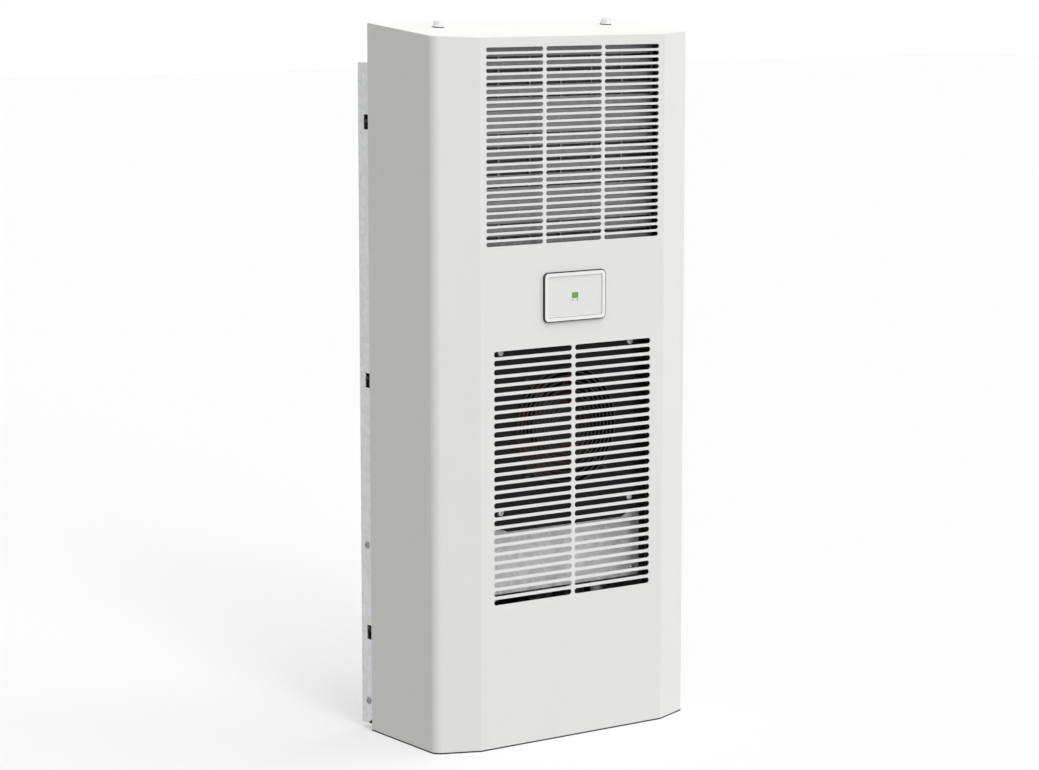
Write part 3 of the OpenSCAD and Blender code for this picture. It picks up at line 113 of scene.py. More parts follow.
def colour_property(name, description, hex_colour):
    """A colour that a user may change."""
    return bpy.props.FloatVectorProperty(
        name=name, description=description, subtype="COLOR", size=3, min=0.0, max=1.0,
        default=linear(hex_colour))


def length_property(name, description, metres):
    """A length in metres that a user may change."""
    return bpy.props.FloatProperty(
        name=name, description=description, subtype="DISTANCE", unit="LENGTH", min=0.0,
        default=metres, precision=5)


def share_property(name, description, share):
    """A share between none and all that a user may change."""
    return bpy.props.FloatProperty(
        name=name, description=description, subtype="FACTOR", min=0.0, max=1.0, default=share)


def angle_property(name, description, degrees):
    """An angle that a user may change."""
    return bpy.props.FloatProperty(
        name=name, description=description, subtype="ANGLE", default=math.radians(degrees))


def level_property(name, description, level):
    """A plain number from nought up that a user may change."""
    return bpy.props.FloatProperty(name=name, description=description, min=0.0, default=level)


class CoolerFinish(bpy.types.PropertyGroup):
    """Colours and grain of the unit's surfaces."""

    cover: colour_property("Cover", "Powder coat of the cover", "#E6E6E4")
    zinc: colour_property("Zinc", "Hot-dip galvanised sheet", "#C6C7C8")
    # Painted shade: the zinc darkened to grey for the coil guard behind the upper grille.
    guard_zinc_shaded: colour_property("Guard zinc", "Dull galvanised sheet of the coil guard", "#97989A")
    # Painted light: the zinc made pale for the lid behind the lower grille.
    lid_zinc_lit: colour_property("Lid zinc", "Dull galvanised sheet of the electrical lid", "#ECEDEE")
    # Painted shade: the zinc darkened for the sheets deep inside the unit.
    inner_zinc_shaded: colour_property("Inner zinc", "Aged galvanised sheet deep inside", "#5E6061")
    black_zinc: colour_property("Black zinc", "Black screws of the finger guard", "#2A2B2D")
    # Painted light: paler than the other zinc plate, so the bolts wash to white.
    bolt_painted_light: colour_property("Roof bolts", "Pale zinc plate of the roof bolts", "#E6E7E8")
    rivet: colour_property("Rivets", "Heads of the blind rivets", "#8E9092")
    bright_zinc: colour_property("Bright zinc", "Electroplated fasteners", "#D6D8DA")
    # Partly painted shade: the tray's black also darkens the line under the cover's edge.
    black_coat_shade: colour_property("Black coat", "Powder coat of the tray", "#1C1D1F")
    plate_coat: colour_property("Plate coat", "Matt powder coat of the fan plate", "#151618")
    black_paint: colour_property("Black paint", "Paint of the compressor and motors", "#202123")
    # Partly painted shade: the black coat stands in for the shade at the grilles' right ends.
    black_coil_shade: colour_property("Black coil coat", "Dipped coat of the warm lines", "#18191A")
    blade: colour_property("Blades", "Moulded blades of the axial fan", "#4A2C2A")
    copper: colour_property("Copper", "Drawn refrigerant tube", "#C98A63")
    brass: colour_property("Brass", "Turned valve body", "#C9A45C")
    fin: colour_property("Fins", "Rolled aluminium fin stock", "#D9DBDD")
    can: colour_property("Can", "Drawn aluminium can", "#CFD1D3")
    foam: colour_property("Foam", "Moulded bead foam", "#46484B")
    rubber: colour_property("Rubber", "Gasket, washers and foot trim", "#232325")
    black_plastic: colour_property("Black plastic", "Moulded pan, cap and connector", "#26272A")
    board: colour_property("Board", "Solder resist of the circuit board", "#1E5B3A")
    bezel: colour_property("Bezel", "Gloss rim of the display", "#F3F3F1")
    film: colour_property("Film", "Satin film of the display", "#E5E5E4")
    lamp: colour_property("Lamp", "Lens of the status lamp", "#6A8C44")
    dots: colour_property("Dots", "Small lenses under the lamp", "#8FA184")
    # The peel of a powder coat is about 0.3 mm: drawn three times as coarse to show.
    coat_grain: length_property("Coat grain", "Size of the powder coat's fine texture", 0.9 * MM)
    spangle: length_property("Spangle", "Size of a zinc crystal", 7 * MM)
    bead: length_property("Bead", "Size of a foam bead", 3.5 * MM)


class CoolerDetail(bpy.types.PropertyGroup):
    """Sizes of the fine detail that is added to the frame."""

    fin_pitch: length_property("Fin pitch", "Distance from fin to fin in both coils", 2.1 * MM)
    fin_sheet: length_property("Fin sheet", "Thickness of a fin", 0.15 * MM)
    fin_wave: length_property("Fin wave", "Depth of the corrugation of a fin", 0.5 * MM)
    recess_width: share_property(
        "Recess width", "Width of a cross recess, as a share of the head's radius", 0.3)
    recess_reach: share_property(
        "Recess reach", "Half length of a cross recess, as a share of that radius", 0.6)
    recess_depth: share_property(
        "Recess depth", "Depth of a cross recess, as a share of the head's height", 0.6)
    edge_round: length_property("Edge round", "Rounding of moulded and turned edges", 0.5 * MM)
    trim_lap: length_property(
        "Trim lap", "How far the foot trim reaches up the cover's lower edge", 0.4 * MM)
    trim_out: length_property(
        "Trim out", "How far the foot trim stands out from the cover's sheet", 0.15 * MM)


class CoolerStudio(bpy.types.PropertyGroup):
    """Camera, lamps and floor."""

    eye: bpy.props.FloatVectorProperty(
        name="Eye", description="Where the camera stands", subtype="TRANSLATION", unit="LENGTH",
        size=3, default=(-2.3868, -3.33795, 1.0594))
    turn: angle_property("Turn", "Turn of the camera to the right of straight ahead", 35.382)
    tilt: angle_property("Tilt", "Tilt of the camera below level", 8.163)
    lens: level_property("Lens", "Focal length on a 36 mm frame", 104.84)
    sky: level_property("Sky", "Light that comes evenly from all round", 0.445)
    strip: level_property("Strip", "Strength of the tall narrow light in front", 1.82)
    strip_turn: angle_property(
        "Strip turn", "How far to the right of straight ahead the strip stands", -7.0)
    strip_low: angle_property("Strip low", "Height of the strip's lower end above level", 5.0)
    strip_high: angle_property("Strip high", "Height of the strip's upper end above level", 75.0)
    strip_width: angle_property("Strip width", "How wide the strip looks from the unit", 18.0)
    top: level_property("Top", "Strength of the broad light overhead", 0.48)
    top_height: angle_property("Top height", "Height of the light overhead above level", 80.0)
    top_width: angle_property("Top width", "How wide the overhead light looks", 50.0)
    fill: level_property("Fill", "Strength of the broad light on the right", 1.2)
    fill_turn: angle_property("Fill turn", "How far to the right the broad light stands", 78.0)
    fill_height: angle_property("Fill height", "Height of the broad light above level", 35.0)
    fill_width: angle_property("Fill width", "How wide the broad light looks", 70.0)
    floor_width: length_property("Floor width", "Side of the square floor", 40.0)
    floor: colour_property("Floor", "Pale studio floor", "#EBEBEB")
    floor_white: share_property(
        "Floor white", "Share of the floor's brightness that no shadow dims", 0.46)


def settings(name):
    """The scene's settings of that name: finish, detail or studio."""
    return getattr(bpy.context.scene, "cooler_" + name)


def add_node(tree, kind, inputs=None, **choices):
    """Adds a shader node with its choices; an input takes a value or another node's output."""
    node = tree.nodes.new(kind)
    for name, value in choices.items():
        setattr(node, name, value)
    for socket, value in (inputs or {}).items():
        if isinstance(value, bpy.types.NodeSocket):
            tree.links.new(value, node.inputs[socket])
        else:
            node.inputs[socket].default_value = value
    return node


def start_material(name, **sockets):
    """A material, its node tree and its Principled shader, whose sockets are set by name."""
    material = bpy.data.materials.new(name)
    material.use_nodes = True
    shader = material.node_tree.nodes["Principled BSDF"]
    for socket, value in sockets.items():
        shader.inputs[socket.replace("_", " ")].default_value = value
    return material, material.node_tree, shader


def tint(colour, factor):
    """A colour made lighter or darker, with full alpha."""
    return [min(1.0, c * factor) for c in colour] + [1.0]


def place_of(tree):
    """Position on the object in metres, from its own origin."""
    return add_node(tree, "ShaderNodeTexCoord").outputs["Object"]


def noise(tree, place, size, detail=2.0, roughness=0.5):
    """Noise whose blobs are about that size in metres."""
    texture = add_node(tree, "ShaderNodeTexNoise", {
        "Vector": place, "Scale": 1 / size, "Detail": detail, "Roughness": roughness})
    return texture.outputs["Fac"]


def mottle(tree, shader, factor, colour, low, high):
    """Lets the factor swing the base colour between a darker and a lighter tone."""
    mixed = add_node(tree, "ShaderNodeMix", {
        0: factor, 6: tint(colour, low), 7: tint(colour, high)}, data_type="RGBA")
    tree.links.new(mixed.outputs[2], shader.inputs["Base Color"])


def span(tree, shader, socket, factor, low, high):
    """Lets the factor swing one of the shader's sockets between two values."""
    ranged = add_node(tree, "ShaderNodeMapRange", {
        "Value": factor, "To Min": low, "To Max": high})
    tree.links.new(ranged.outputs["Result"], shader.inputs[socket])


def emboss(tree, shader, height, depth):
    """Raises the surface by a pattern of that depth in metres."""
    bump = add_node(tree, "ShaderNodeBump", {
        "Height": height, "Distance": depth, "Strength": 1.0})
    tree.links.new(bump.outputs["Normal"], shader.inputs["Normal"])


def powder_coat(name, colour, grain, roughness=0.5, gloss=0.5):
    """Polyester powder coat, sprayed and baked: an even satin with the melt's fine peel."""
    material, tree, shader = start_material(name, IOR=1.5, Specular_IOR_Level=gloss)
    place = place_of(tree)
    peel = noise(tree, place, grain, detail=3.0)
    cloud = noise(tree, place, 60 * grain)
    mottle(tree, shader, cloud, colour, low=0.985, high=1.015)
    span(tree, shader, "Roughness", peel, low=roughness - 0.06, high=roughness + 0.06)
    emboss(tree, shader, peel, depth=0.03 * MM)
    return material


def galvanised_sheet(name, colour, spangle, metal=1.0):
    """Hot-dip galvanised steel: zinc crystals that each catch the light a little differently."""
    material, tree, shader = start_material(name, Metallic=metal)
    place = place_of(tree)
    # The crystals' straight cell walls are bent, as those of frozen zinc are.
    bent = add_node(tree, "ShaderNodeTexNoise", {
        "Vector": place, "Scale": 0.5 / spangle, "Detail": 1.0})
    shift = add_node(tree, "ShaderNodeVectorMath", {
        0: bent.outputs["Color"], "Scale": 0.8 * spangle}, operation="SCALE")
    warped = add_node(tree, "ShaderNodeVectorMath", {
        0: place, 1: shift.outputs[0]}, operation="ADD")
    crystal = add_node(tree, "ShaderNodeTexVoronoi", {
        "Vector": warped.outputs[0], "Scale": 1 / spangle})
    shades = add_node(tree, "ShaderNodeSeparateColor", {"Color": crystal.outputs["Color"]})
    shade = shades.outputs[0]
    frost = noise(tree, place, FROST_SHARE * spangle, detail=3.0, roughness=0.6)
    both = add_node(tree, "ShaderNodeMath", {0: shade, 1: frost}, operation="ADD")
    mean = add_node(tree, "ShaderNodeMath", {0: both.outputs[0], 1: 0.5}, operation="MULTIPLY")
    mottle(tree, shader, mean.outputs[0], colour, low=0.78, high=1.18)
    span(tree, shader, "Roughness", shade, low=0.38, high=0.6)
    emboss(tree, shader, mean.outputs[0], depth=0.04 * MM)
    return material


def bright_zinc_plate(name, colour, metal=1.0):
    """Steel turned or pressed, then electroplated with zinc: bright, with a faint cloud."""
    material, tree, shader = start_material(name, Metallic=metal)
    cloud = noise(tree, place_of(tree), 3 * MM)
    mottle(tree, shader, cloud, colour, low=0.92, high=1.05)
    span(tree, shader, "Roughness", cloud, low=0.24, high=0.36)
    return material


def rolled_aluminium(name, colour, step):
    """Rolled and pressed aluminium: clean metal with fine lines left by the rolls."""
    material, tree, shader = start_material(name, Metallic=1.0)
    place = place_of(tree)
    lines = add_node(tree, "ShaderNodeTexWave", {
        "Vector": place, "Scale": WAVE_UNIT / step, "Distortion": 2.0, "Detail": 2.0},
        bands_direction="Z")
    mottle(tree, shader, lines.outputs["Fac"], colour, low=0.93, high=1.04)
    span(tree, shader, "Roughness", noise(tree, place, 6 * step), low=0.28, high=0.42)
    return material


def drawn_copper(name, colour):
    """Copper drawn to tube: warm metal, dulled in soft patches where it was held and brazed."""
    material, tree, shader = start_material(name, Metallic=1.0)
    patch = noise(tree, place_of(tree), 18 * MM, detail=4.0, roughness=0.6)
    mottle(tree, shader, patch, colour, low=0.78, high=1.06)
    span(tree, shader, "Roughness", patch, low=0.24, high=0.44)
    return material


def turned_brass(name, colour):
    """Brass turned on a lathe: yellow metal with rings left by the tool."""
    material, tree, shader = start_material(name, Metallic=1.0)
    rings = add_node(tree, "ShaderNodeTexWave", {
        "Vector": place_of(tree), "Scale": WAVE_UNIT / BRASS_RINGS, "Distortion": 0.4},
        bands_direction="Z")
    mottle(tree, shader, rings.outputs["Fac"], colour, low=0.95, high=1.03)
    span(tree, shader, "Roughness", rings.outputs["Fac"], low=0.24, high=0.34)
    return material


def sprayed_paint(name, colour):
    """Black enamel sprayed on cast and pressed steel: semi-matt, with a coarse orange peel."""
    material, tree, shader = start_material(name, IOR=1.5)
    place = place_of(tree)
    peel = noise(tree, place, SPRAY_PEEL)
    mottle(tree, shader, noise(tree, place, 30 * MM), colour, low=0.85, high=1.15)
    span(tree, shader, "Roughness", peel, low=0.34, high=0.5)
    emboss(tree, shader, peel, depth=0.06 * MM)
    return material


def moulded_plastic(name, colour, roughness=0.5, grain=MOULD_GRAIN, depth=0.03 * MM):
    """Injection-moulded plastic: one even colour with the spark-eroded grain of the mould."""
    material, tree, shader = start_material(name, IOR=1.49)
    place = place_of(tree)
    pits = noise(tree, place, grain)
    mottle(tree, shader, noise(tree, place, 40 * grain), colour, low=0.95, high=1.05)
    span(tree, shader, "Roughness", pits, low=roughness - 0.08, high=roughness + 0.08)
    emboss(tree, shader, pits, depth)
    return material


def bead_foam(name, colour, bead):
    """Bead foam moulded in steam: beads pressed flat against each other, with fine seams."""
    material, tree, shader = start_material(name, IOR=1.45)
    place = place_of(tree)
    cell = add_node(tree, "ShaderNodeTexVoronoi", {"Vector": place, "Scale": 1 / bead})
    shades = add_node(tree, "ShaderNodeSeparateColor", {"Color": cell.outputs["Color"]})
    seam = add_node(tree, "ShaderNodeTexVoronoi", {
        "Vector": place, "Scale": 1 / bead}, feature="DISTANCE_TO_EDGE")
    mottle(tree, shader, shades.outputs[0], colour, low=0.85, high=1.15)
    span(tree, shader, "Roughness", shades.outputs[0], low=0.75, high=0.9)
    emboss(tree, shader, seam.outputs["Distance"], depth=0.5 * MM)
    return material


def cellular_rubber(name, colour):
    """Rubber, cut from closed-cell sheet: matt black with small open cells."""
    material, tree, shader = start_material(name, IOR=1.52)
    cells = add_node(tree, "ShaderNodeTexVoronoi", {
        "Vector": place_of(tree), "Scale": 1 / RUBBER_CELL}).outputs["Distance"]
    mottle(tree, shader, cells, colour, low=0.8, high=1.25)
    span(tree, shader, "Roughness", cells, low=0.7, high=0.9)
    emboss(tree, shader, cells, depth=0.15 * MM)
    return material


def solder_resist(name, colour):
    """Glass-fibre board under green resist: copper runs show through as lighter bars."""
    material, tree, shader = start_material(name, IOR=1.55)
    place = place_of(tree)
    tracks = add_node(tree, "ShaderNodeTexBrick", {
        "Vector": place, "Scale": TRACK_SCALE, "Color1": tint(colour, 1.0),
        "Color2": tint(colour, 1.25), "Mortar": tint(colour, 0.7), "Mortar Size": 0.01})
    tree.links.new(tracks.outputs["Color"], shader.inputs["Base Color"])
    span(tree, shader, "Roughness", noise(tree, place, 4 * MM), low=0.25, high=0.4)
    return material


def glowing_lens(name, colour, glow):
    """Clear acrylic lens moulded in colour and lit from behind: even glow, glossy skin."""
    material, tree, shader = start_material(
        name, IOR=1.49, Roughness=0.25, Emission_Strength=glow)
    shader.inputs["Emission Color"].default_value = tint(colour, 1.0)
    mottle(tree, shader, noise(tree, place_of(tree), 1.5 * MM), colour, low=0.95, high=1.05)
    return material


def dress(material, *names):
    """Gives CAD nodes their finish."""
    for name in names:
        mesh = NODES[name].data
        mesh.materials.clear()
        mesh.materials.append(material)


def soften(width, *names):
    """Rounds the sharp edges of CAD nodes."""
    for name in names:
        bevel = NODES[name].modifiers.new("edge_round", "BEVEL")
        bevel.width = width
        bevel.segments = EDGE_STEPS
        bevel.limit_method = "ANGLE"
        bevel.angle_limit = EDGE_ANGLE
        bevel.harden_normals = True


def finished_mesh(name, bm):
    """Closes the work on a mesh: faces turned outwards, shaded smooth but for sharp edges."""
    bmesh.ops.recalc_face_normals(bm, faces=bm.faces)
    mesh = bpy.data.meshes.new(name)
    bm.to_mesh(mesh)
    bm.free()
    mesh.shade_smooth()
    mesh.set_sharp_from_angle(angle=CRISP_ANGLE)
    return mesh


def ring_of(bm, radius, height):
    """One ring of points about Z, or a single point on the axis."""
    turns = [k * math.tau / TURN_STEPS for k in range(TURN_STEPS if radius > 0 else 1)]
    return [bm.verts.new((radius * math.cos(turn), radius * math.sin(turn), height))
            for turn in turns]


def turn_form(bm, profile):
    """Adds a form turned about Z from pairs of radius and height, from axis to axis."""
    rings = [ring_of(bm, radius, height) for radius, height in profile]
    for low, high in zip(rings, rings[1:]):
        for k in range(TURN_STEPS):
            corners = dict.fromkeys([low[k % len(low)], low[(k + 1) % len(low)],
                                     high[(k + 1) % len(high)], high[k % len(high)]])
            bm.faces.new(corners)


def carved(mesh, cutter):
    """The mesh with the cutter's form taken out; the cutter may cross itself."""
    body, tool = (bpy.data.objects.new("carving", m) for m in (mesh, cutter))
    for item in (body, tool):
        bpy.context.scene.collection.objects.link(item)
    change = body.modifiers.new("carving", "BOOLEAN")
    change.object = tool
    change.use_self = True
    shaped = body.evaluated_get(bpy.context.evaluated_depsgraph_get())
    result = bpy.data.meshes.new_from_object(shaped)
    for item in (body, tool):
        bpy.data.objects.remove(item)
    return result


def middle_of(points):
    """The middle of the box round some points."""
    return Vector([(min(p[i] for p in points) + max(p[i] for p in points)) / 2 for i in range(3)])


def fasteners(name, sideways=False):
    """Measures the four fasteners of a CAD node.

    Each gives its frame, the head's radius and height, and the shank's radius and length.
    """
    low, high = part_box(name)
    middle = (low + high) / 2
    corners = {}
    for vertex in NODES[name].data.vertices:
        corner = (vertex.co.x > middle.x, vertex.co.z > middle.z)
        corners.setdefault(corner, []).append(vertex.co)
    for (right, _), points in sorted(corners.items()):
        out = Vector((1 if right else -1, 0, 0)) if sideways else Vector((0, -1, 0))
        axis = middle_of(points)
        rims = []
        for point in points:
            height = (point - axis).dot(out)
            rims.append((height, (point - axis - height * out).length))
        head_r = max(radius for _, radius in rims)
        seat = min(height for height, radius in rims if radius > RIM_SHARE * head_r)
        tip = min(height for height, _ in rims)
        shank_r = max(radius for height, radius in rims if height < tip + TIP_LENGTH)
        turned = out.to_track_quat("Z", "Y").to_matrix().to_4x4()
        head_h = max(height for height, _ in rims) - seat
        yield Matrix.Translation(axis + seat * out) @ turned, head_r, head_h, shank_r, seat - tip


def fastener_mesh(name, forms):
    """One mesh of several fasteners, each given by its frame and the mesh of its form."""
    bm = bmesh.new()
    for frame_of, form in forms:
        part = form.copy()
        part.transform(frame_of)
        bm.from_mesh(part)
        bpy.data.meshes.remove(part)
    return finished_mesh(name, bm)


def shank(shank_r, shank_l, head_r):
    """Profile of a plain shank from its tip to the head's rim."""
    return [(0, -shank_l), (shank_r, -shank_l), (shank_r, 0), (head_r, 0)]


def dome(head_r, head_h, angle, steps):
    """Profile of a domed head from its rim up."""
    turns = [k * angle / CROWN_STEPS for k in range(steps)]
    return [(head_r * math.cos(turn), head_h * (CROWN_START + (1 - CROWN_START) * math.sin(turn)))
            for turn in turns]


def cross_screw(head_r, head_h, shank_r, shank_l, detail):
    """A pan-head screw with a tapered cross recess."""
    bm = bmesh.new()
    crown = dome(head_r, head_h, math.pi / 2, CROWN_STEPS)
    turn_form(bm, [*shank(shank_r, shank_l, head_r), *crown, (0, head_h)])
    head = finished_mesh("screw_head", bm)
    bm = bmesh.new()
    half, reach = detail.recess_width * head_r / 2, detail.recess_reach * head_r
    floor = (1 - detail.recess_depth) * head_h
    for long, short in ((reach, half), (half, reach)):
        wing = bmesh.ops.create_cube(bm, size=1.0)["verts"]
        for vertex in wing:
            top = vertex.co.z > 0
            narrow = 1.0 if top else RECESS_TAPER
            vertex.co = Vector((
                math.copysign(long, vertex.co.x) * narrow,
                math.copysign(short, vertex.co.y) * narrow,
                RECESS_MOUTH * head_h if top else floor))
    return carved(head, finished_mesh("recess", bm))


def blind_rivet(head_r, head_h, shank_r, shank_l):
    """A dome-head blind rivet with the broken mandrel sunk in its middle."""
    bm = bmesh.new()
    crown = dome(head_r, head_h, RIVET_DOME, CROWN_STEPS + 1)
    rim_r, rim_h = crown[-1]
    turn_form(bm, [*shank(shank_r, shank_l, head_r), *crown,
                   (rim_r, rim_h - MANDREL_WALL * head_h), (0, rim_h - MANDREL_TIP * head_h)])
    return finished_mesh("rivet_form", bm)


def fin_pack(name, detail):
    """A pack of thin corrugated fins that fills a CAD node's box."""
    low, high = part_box(name)
    room = high.x - low.x - detail.fin_wave - detail.fin_sheet
    count = int(room / detail.fin_pitch) + 1
    first = (low.x + high.x - (count - 1) * detail.fin_pitch) / 2
    half = detail.fin_sheet / 2
    bm = bmesh.new()
    for i in range(count):
        rings = []
        for k in range(FIN_FOLDS + 1):
            x = first + i * detail.fin_pitch + detail.fin_wave * (k % 2 - 0.5)
            y = low.y + (high.y - low.y) * k / FIN_FOLDS
            rings.append([bm.verts.new(corner) for corner in (
                (x - half, y, low.z), (x + half, y, low.z),
                (x + half, y, high.z), (x - half, y, high.z))])
        for a, b in zip(rings, rings[1:]):
            for k in range(4):
                bm.faces.new((a[k], a[(k + 1) % 4], b[(k + 1) % 4], b[k]))
        bm.faces.new(rings[0])
        bm.faces.new(rings[-1])
    return finished_mesh(name + "_fine", bm)


def gap_shade_trim(name, lap, out):
    """A thin dark trim that closes the gap between a folded sheet's lower edge and the floor, as
    painted shade for the shadow in that gap.
    """
    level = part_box(name)[0].z
    bm = bmesh.new()
    bm.from_mesh(NODES[name].data)
    everything = [*bm.verts, *bm.edges, *bm.faces]
    cut = bmesh.ops.bisect_plane(
        bm, geom=everything, plane_co=(0, 0, level + lap), plane_no=(0, 0, 1), clear_outer=True)
    rim = [item for item in cut["geom_cut"] if isinstance(item, bmesh.types.BMEdge)]
    for vertex in bm.verts:
        sideways = Vector((vertex.normal.x, vertex.normal.y, 0.0))
        if sideways.length > 0:
            vertex.co += out * sideways.normalized()
        if vertex.co.z < level + lap / 2:
            vertex.co.z = CAD_BOX[0].z
    bmesh.ops.edgenet_fill(bm, edges=rim)
    return finished_mesh(name + "_trim", bm)


def add_piece(name, mesh, material, body, slot, *replaced):
    """Puts a mesh into the scene on a body, in place of CAD nodes where they are named."""
    piece = bpy.data.objects.new(name, mesh)
    bpy.context.scene.collection.objects.link(piece)
    mesh.materials.append(material)
    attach(piece, body)
    if replaced:
        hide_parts(*replaced)


def add_screws(material, *names):
    """Cross-head screws in place of the plain ones of CAD nodes."""
    detail = settings("detail")
    for name in names:
        screws = [(place, cross_screw(*sizes, detail)) for place, *sizes in fasteners(name)]
        mesh = fastener_mesh(name + "_cross", screws)
        add_piece(name + "_cross", mesh, material, CASE, "bright_steel", name)


class COOLER_OT_cover(bpy.types.Operator):
    """Coat the folded cover, plate its roof bolts and set a dark trim under it as painted shade"""

    bl_idname = "cooler.cover"
    bl_label = "Cover"

    def execute(self, context):
        finish = settings("finish")
        detail = settings("detail")
        coat = powder_coat("powder_coat_light_grey", finish.cover, finish.coat_grain)
        dress(coat, "cover_hood")
        # Zinc plate painted paler than the other plate, as painted light: the bolts wash to white
        # under the top light and keep a soft shine, no mirror.
        plate = bright_zinc_plate("zinc_plated_roof_bolt_painted_light", finish.bolt_painted_light, DULL_METAL)
        dress(plate, "roof_bolts", "roof_nuts")
        # Moulded rubber: a dark, almost matt ring under each bolt.
        dress(moulded_plastic("rubber_moulded_washer", finish.rubber, 0.8), "roof_washers")
        soften(detail.edge_round, "roof_bolts")
        # Painted shade: a black rubber trim stands in for the shadow in the gap under the cover's
        # edge.
        trim = gap_shade_trim("cover_hood", detail.trim_lap, detail.trim_out)
        rubber = cellular_rubber("rubber_trim_painted_shade", finish.rubber)
        add_piece("cover_gap_shade_trim", trim, rubber, CASE, "seal_rubber")
        return {"FINISHED"}


class COOLER_OT_sheet_metal(bpy.types.Operator):
    """Galvanise the rear housing and the sheets inside, coat the tray and set the rivets"""

    bl_idname = "cooler.sheet_metal"
    bl_label = "Sheet metal"

    def execute(self, context):
        finish = settings("finish")
        sheet = galvanised_sheet("galvanised_steel_spangled", finish.zinc, finish.spangle)
        dress(sheet, "chassis", "side_panels", "housing_shelf", "evaporator_end_plates",
              "air_baffle", "radial_fan_bracket", "roof_brackets")
        # The same sheet, with little metal share, in three tones of painted light: darkened as
        # painted shade deep inside, grey as painted shade behind the upper grille, pale as painted
        # light behind the lower one.
        shaded_sheet = galvanised_sheet(
            "galvanised_steel_painted_shade", finish.inner_zinc_shaded, finish.spangle, DULL_METAL)
        dress(shaded_sheet, "partition", "fan_box", "electrical_box", "condenser_end_plates")
        dull = galvanised_sheet(
            "galvanised_steel_dull_painted_shade", finish.guard_zinc_shaded, finish.spangle, DULL_METAL)
        dress(dull, "coil_guard")
        matt = galvanised_sheet(
            "galvanised_steel_matt_painted_light", finish.lid_zinc_lit, finish.spangle, DULL_METAL)
        dress(matt, "electrical_lid")
        # The tray's black coat is partly painted shade: it darkens the line under the cover's
        # edge.
        black = powder_coat("powder_coat_black_tray_shade", finish.black_coat_shade, finish.coat_grain)
        dress(black, "base_tray")
        plate = bright_zinc_plate("zinc_plated_fastener", finish.bright_zinc)
        dress(plate, "mounting_nuts", "compressor_studs")
        rivets = [(place, blind_rivet(*sizes))
                  for place, *sizes in fasteners("side_rivets", sideways=True)]
        # Steel rivets set dry: grey, and duller than the sheet that they hold.
        steel = bright_zinc_plate("steel_blind_rivet", finish.rivet)
        add_piece("blind_rivets", fastener_mesh("blind_rivets", rivets), steel, CASE,
                  "bright_steel", "side_rivets")
        return {"FINISHED"}


class COOLER_OT_coils(bpy.types.Operator):
    """Finish both coils: aluminium fins on copper tube"""

    bl_idname = "cooler.coils"
    bl_label = "Coils"

    def execute(self, context):
        finish = settings("finish")
        detail = settings("detail")
        stock = rolled_aluminium("aluminium_fin_stock_rolled", finish.fin, FIN_LINES)
        for name in ("condenser_fins", "evaporator_fins"):
            add_piece(name + "_fine", fin_pack(name, detail), stock, CASE, "coil_fins", name)
        copper = drawn_copper("copper_tube_drawn", finish.copper)
        dress(copper, "evaporator_tubes", "suction_line")
        # Copper dipped in black epoxy, partly painted shade: the black stands in for the shade at
        # the grilles' right ends; only a soft gleam shows its bends.
        shaded_coil_coat = sprayed_paint("black_coil_coat_painted_shade", finish.black_coil_shade)
        dress(shaded_coil_coat, "condenser_tubes", "discharge_line", "liquid_line", "filter_drier")
        dress(turned_brass("brass_turned", finish.brass), "expansion_valve")
        return {"FINISHED"}


class COOLER_OT_fans(bpy.types.Operator):
    """Finish both fans, their motors, the fan plate and the finger guard"""

    bl_idname = "cooler.fans"
    bl_label = "Fans"

    def execute(self, context):
        finish = settings("finish")
        # A rougher, flatter powder coat than the cover's: the plate stays dark in every light.
        flat = powder_coat("powder_coat_black", finish.plate_coat, finish.coat_grain,
                           roughness=0.6, gloss=0.2)
        dress(flat, "fan_plate")
        paint = sprayed_paint("black_enamel_sprayed", finish.black_paint)
        dress(paint, "finger_guard", "fan_motor_bracket", "fan_motor", "fan_rotor",
              "radial_fan_motor", "radial_fan_rotor")
        # Glass-filled polyamide: matt blades with a warm cast.
        dress(moulded_plastic("polyamide_moulded_blade", finish.blade), "fan_impeller")
        plate = bright_zinc_plate("zinc_plated_fan_sheet", finish.bright_zinc)
        dress(plate, "radial_impeller", "inlet_ring")
        screw = bright_zinc_plate("zinc_plated_fan_screw", finish.bright_zinc, DULL_METAL)
        add_screws(screw, "fan_plate_screws")
        # Black passivated zinc: the guard's screws vanish against its rings.
        black = bright_zinc_plate("black_zinc_guard_screw", finish.black_zinc, DULL_METAL)
        add_screws(black, "finger_guard_screws")
        return {"FINISHED"}


class COOLER_OT_refrigeration(bpy.types.Operator):
    """Finish the compressor group, the foam housing and what drains it"""

    bl_idname = "cooler.refrigeration"
    bl_label = "Refrigeration"

    def execute(self, context):
        finish = settings("finish")
        enamel = sprayed_paint("black_enamel_compressor", finish.black_paint)
        dress(enamel, "compressor", "accumulator")
        cap = moulded_plastic("polyamide_moulded_cap", finish.black_plastic)
        dress(cap, "compressor_cap", "drain_pan")
        foam = bead_foam("bead_foam_moulded", finish.foam, finish.bead)
        dress(foam, "evaporator_housing", "housing_panel")
        rubber = cellular_rubber("rubber_closed_cell", finish.rubber)
        dress(rubber, "rear_gasket", "compressor_grommets", "drain_tube")
        return {"FINISHED"}


class COOLER_OT_electrics(bpy.types.Operator):
    """Finish the control board, its parts and the connector"""

    bl_idname = "cooler.electrics"
    bl_label = "Electrics"

    def execute(self, context):
        finish = settings("finish")
        dress(solder_resist("circuit_board_green", finish.board), "control_board")
        # A can drawn from sheet: bright metal with faint die lines.
        dress(rolled_aluminium("aluminium_can_drawn", finish.can, CAN_LINES), "run_capacitor")
        plug = moulded_plastic("polyamide_moulded_connector", finish.black_plastic)
        dress(plug, "power_connector")
        add_screws(bright_zinc_plate("zinc_plated_lid_screw", finish.bright_zinc), "lid_screws")
        return {"FINISHED"}


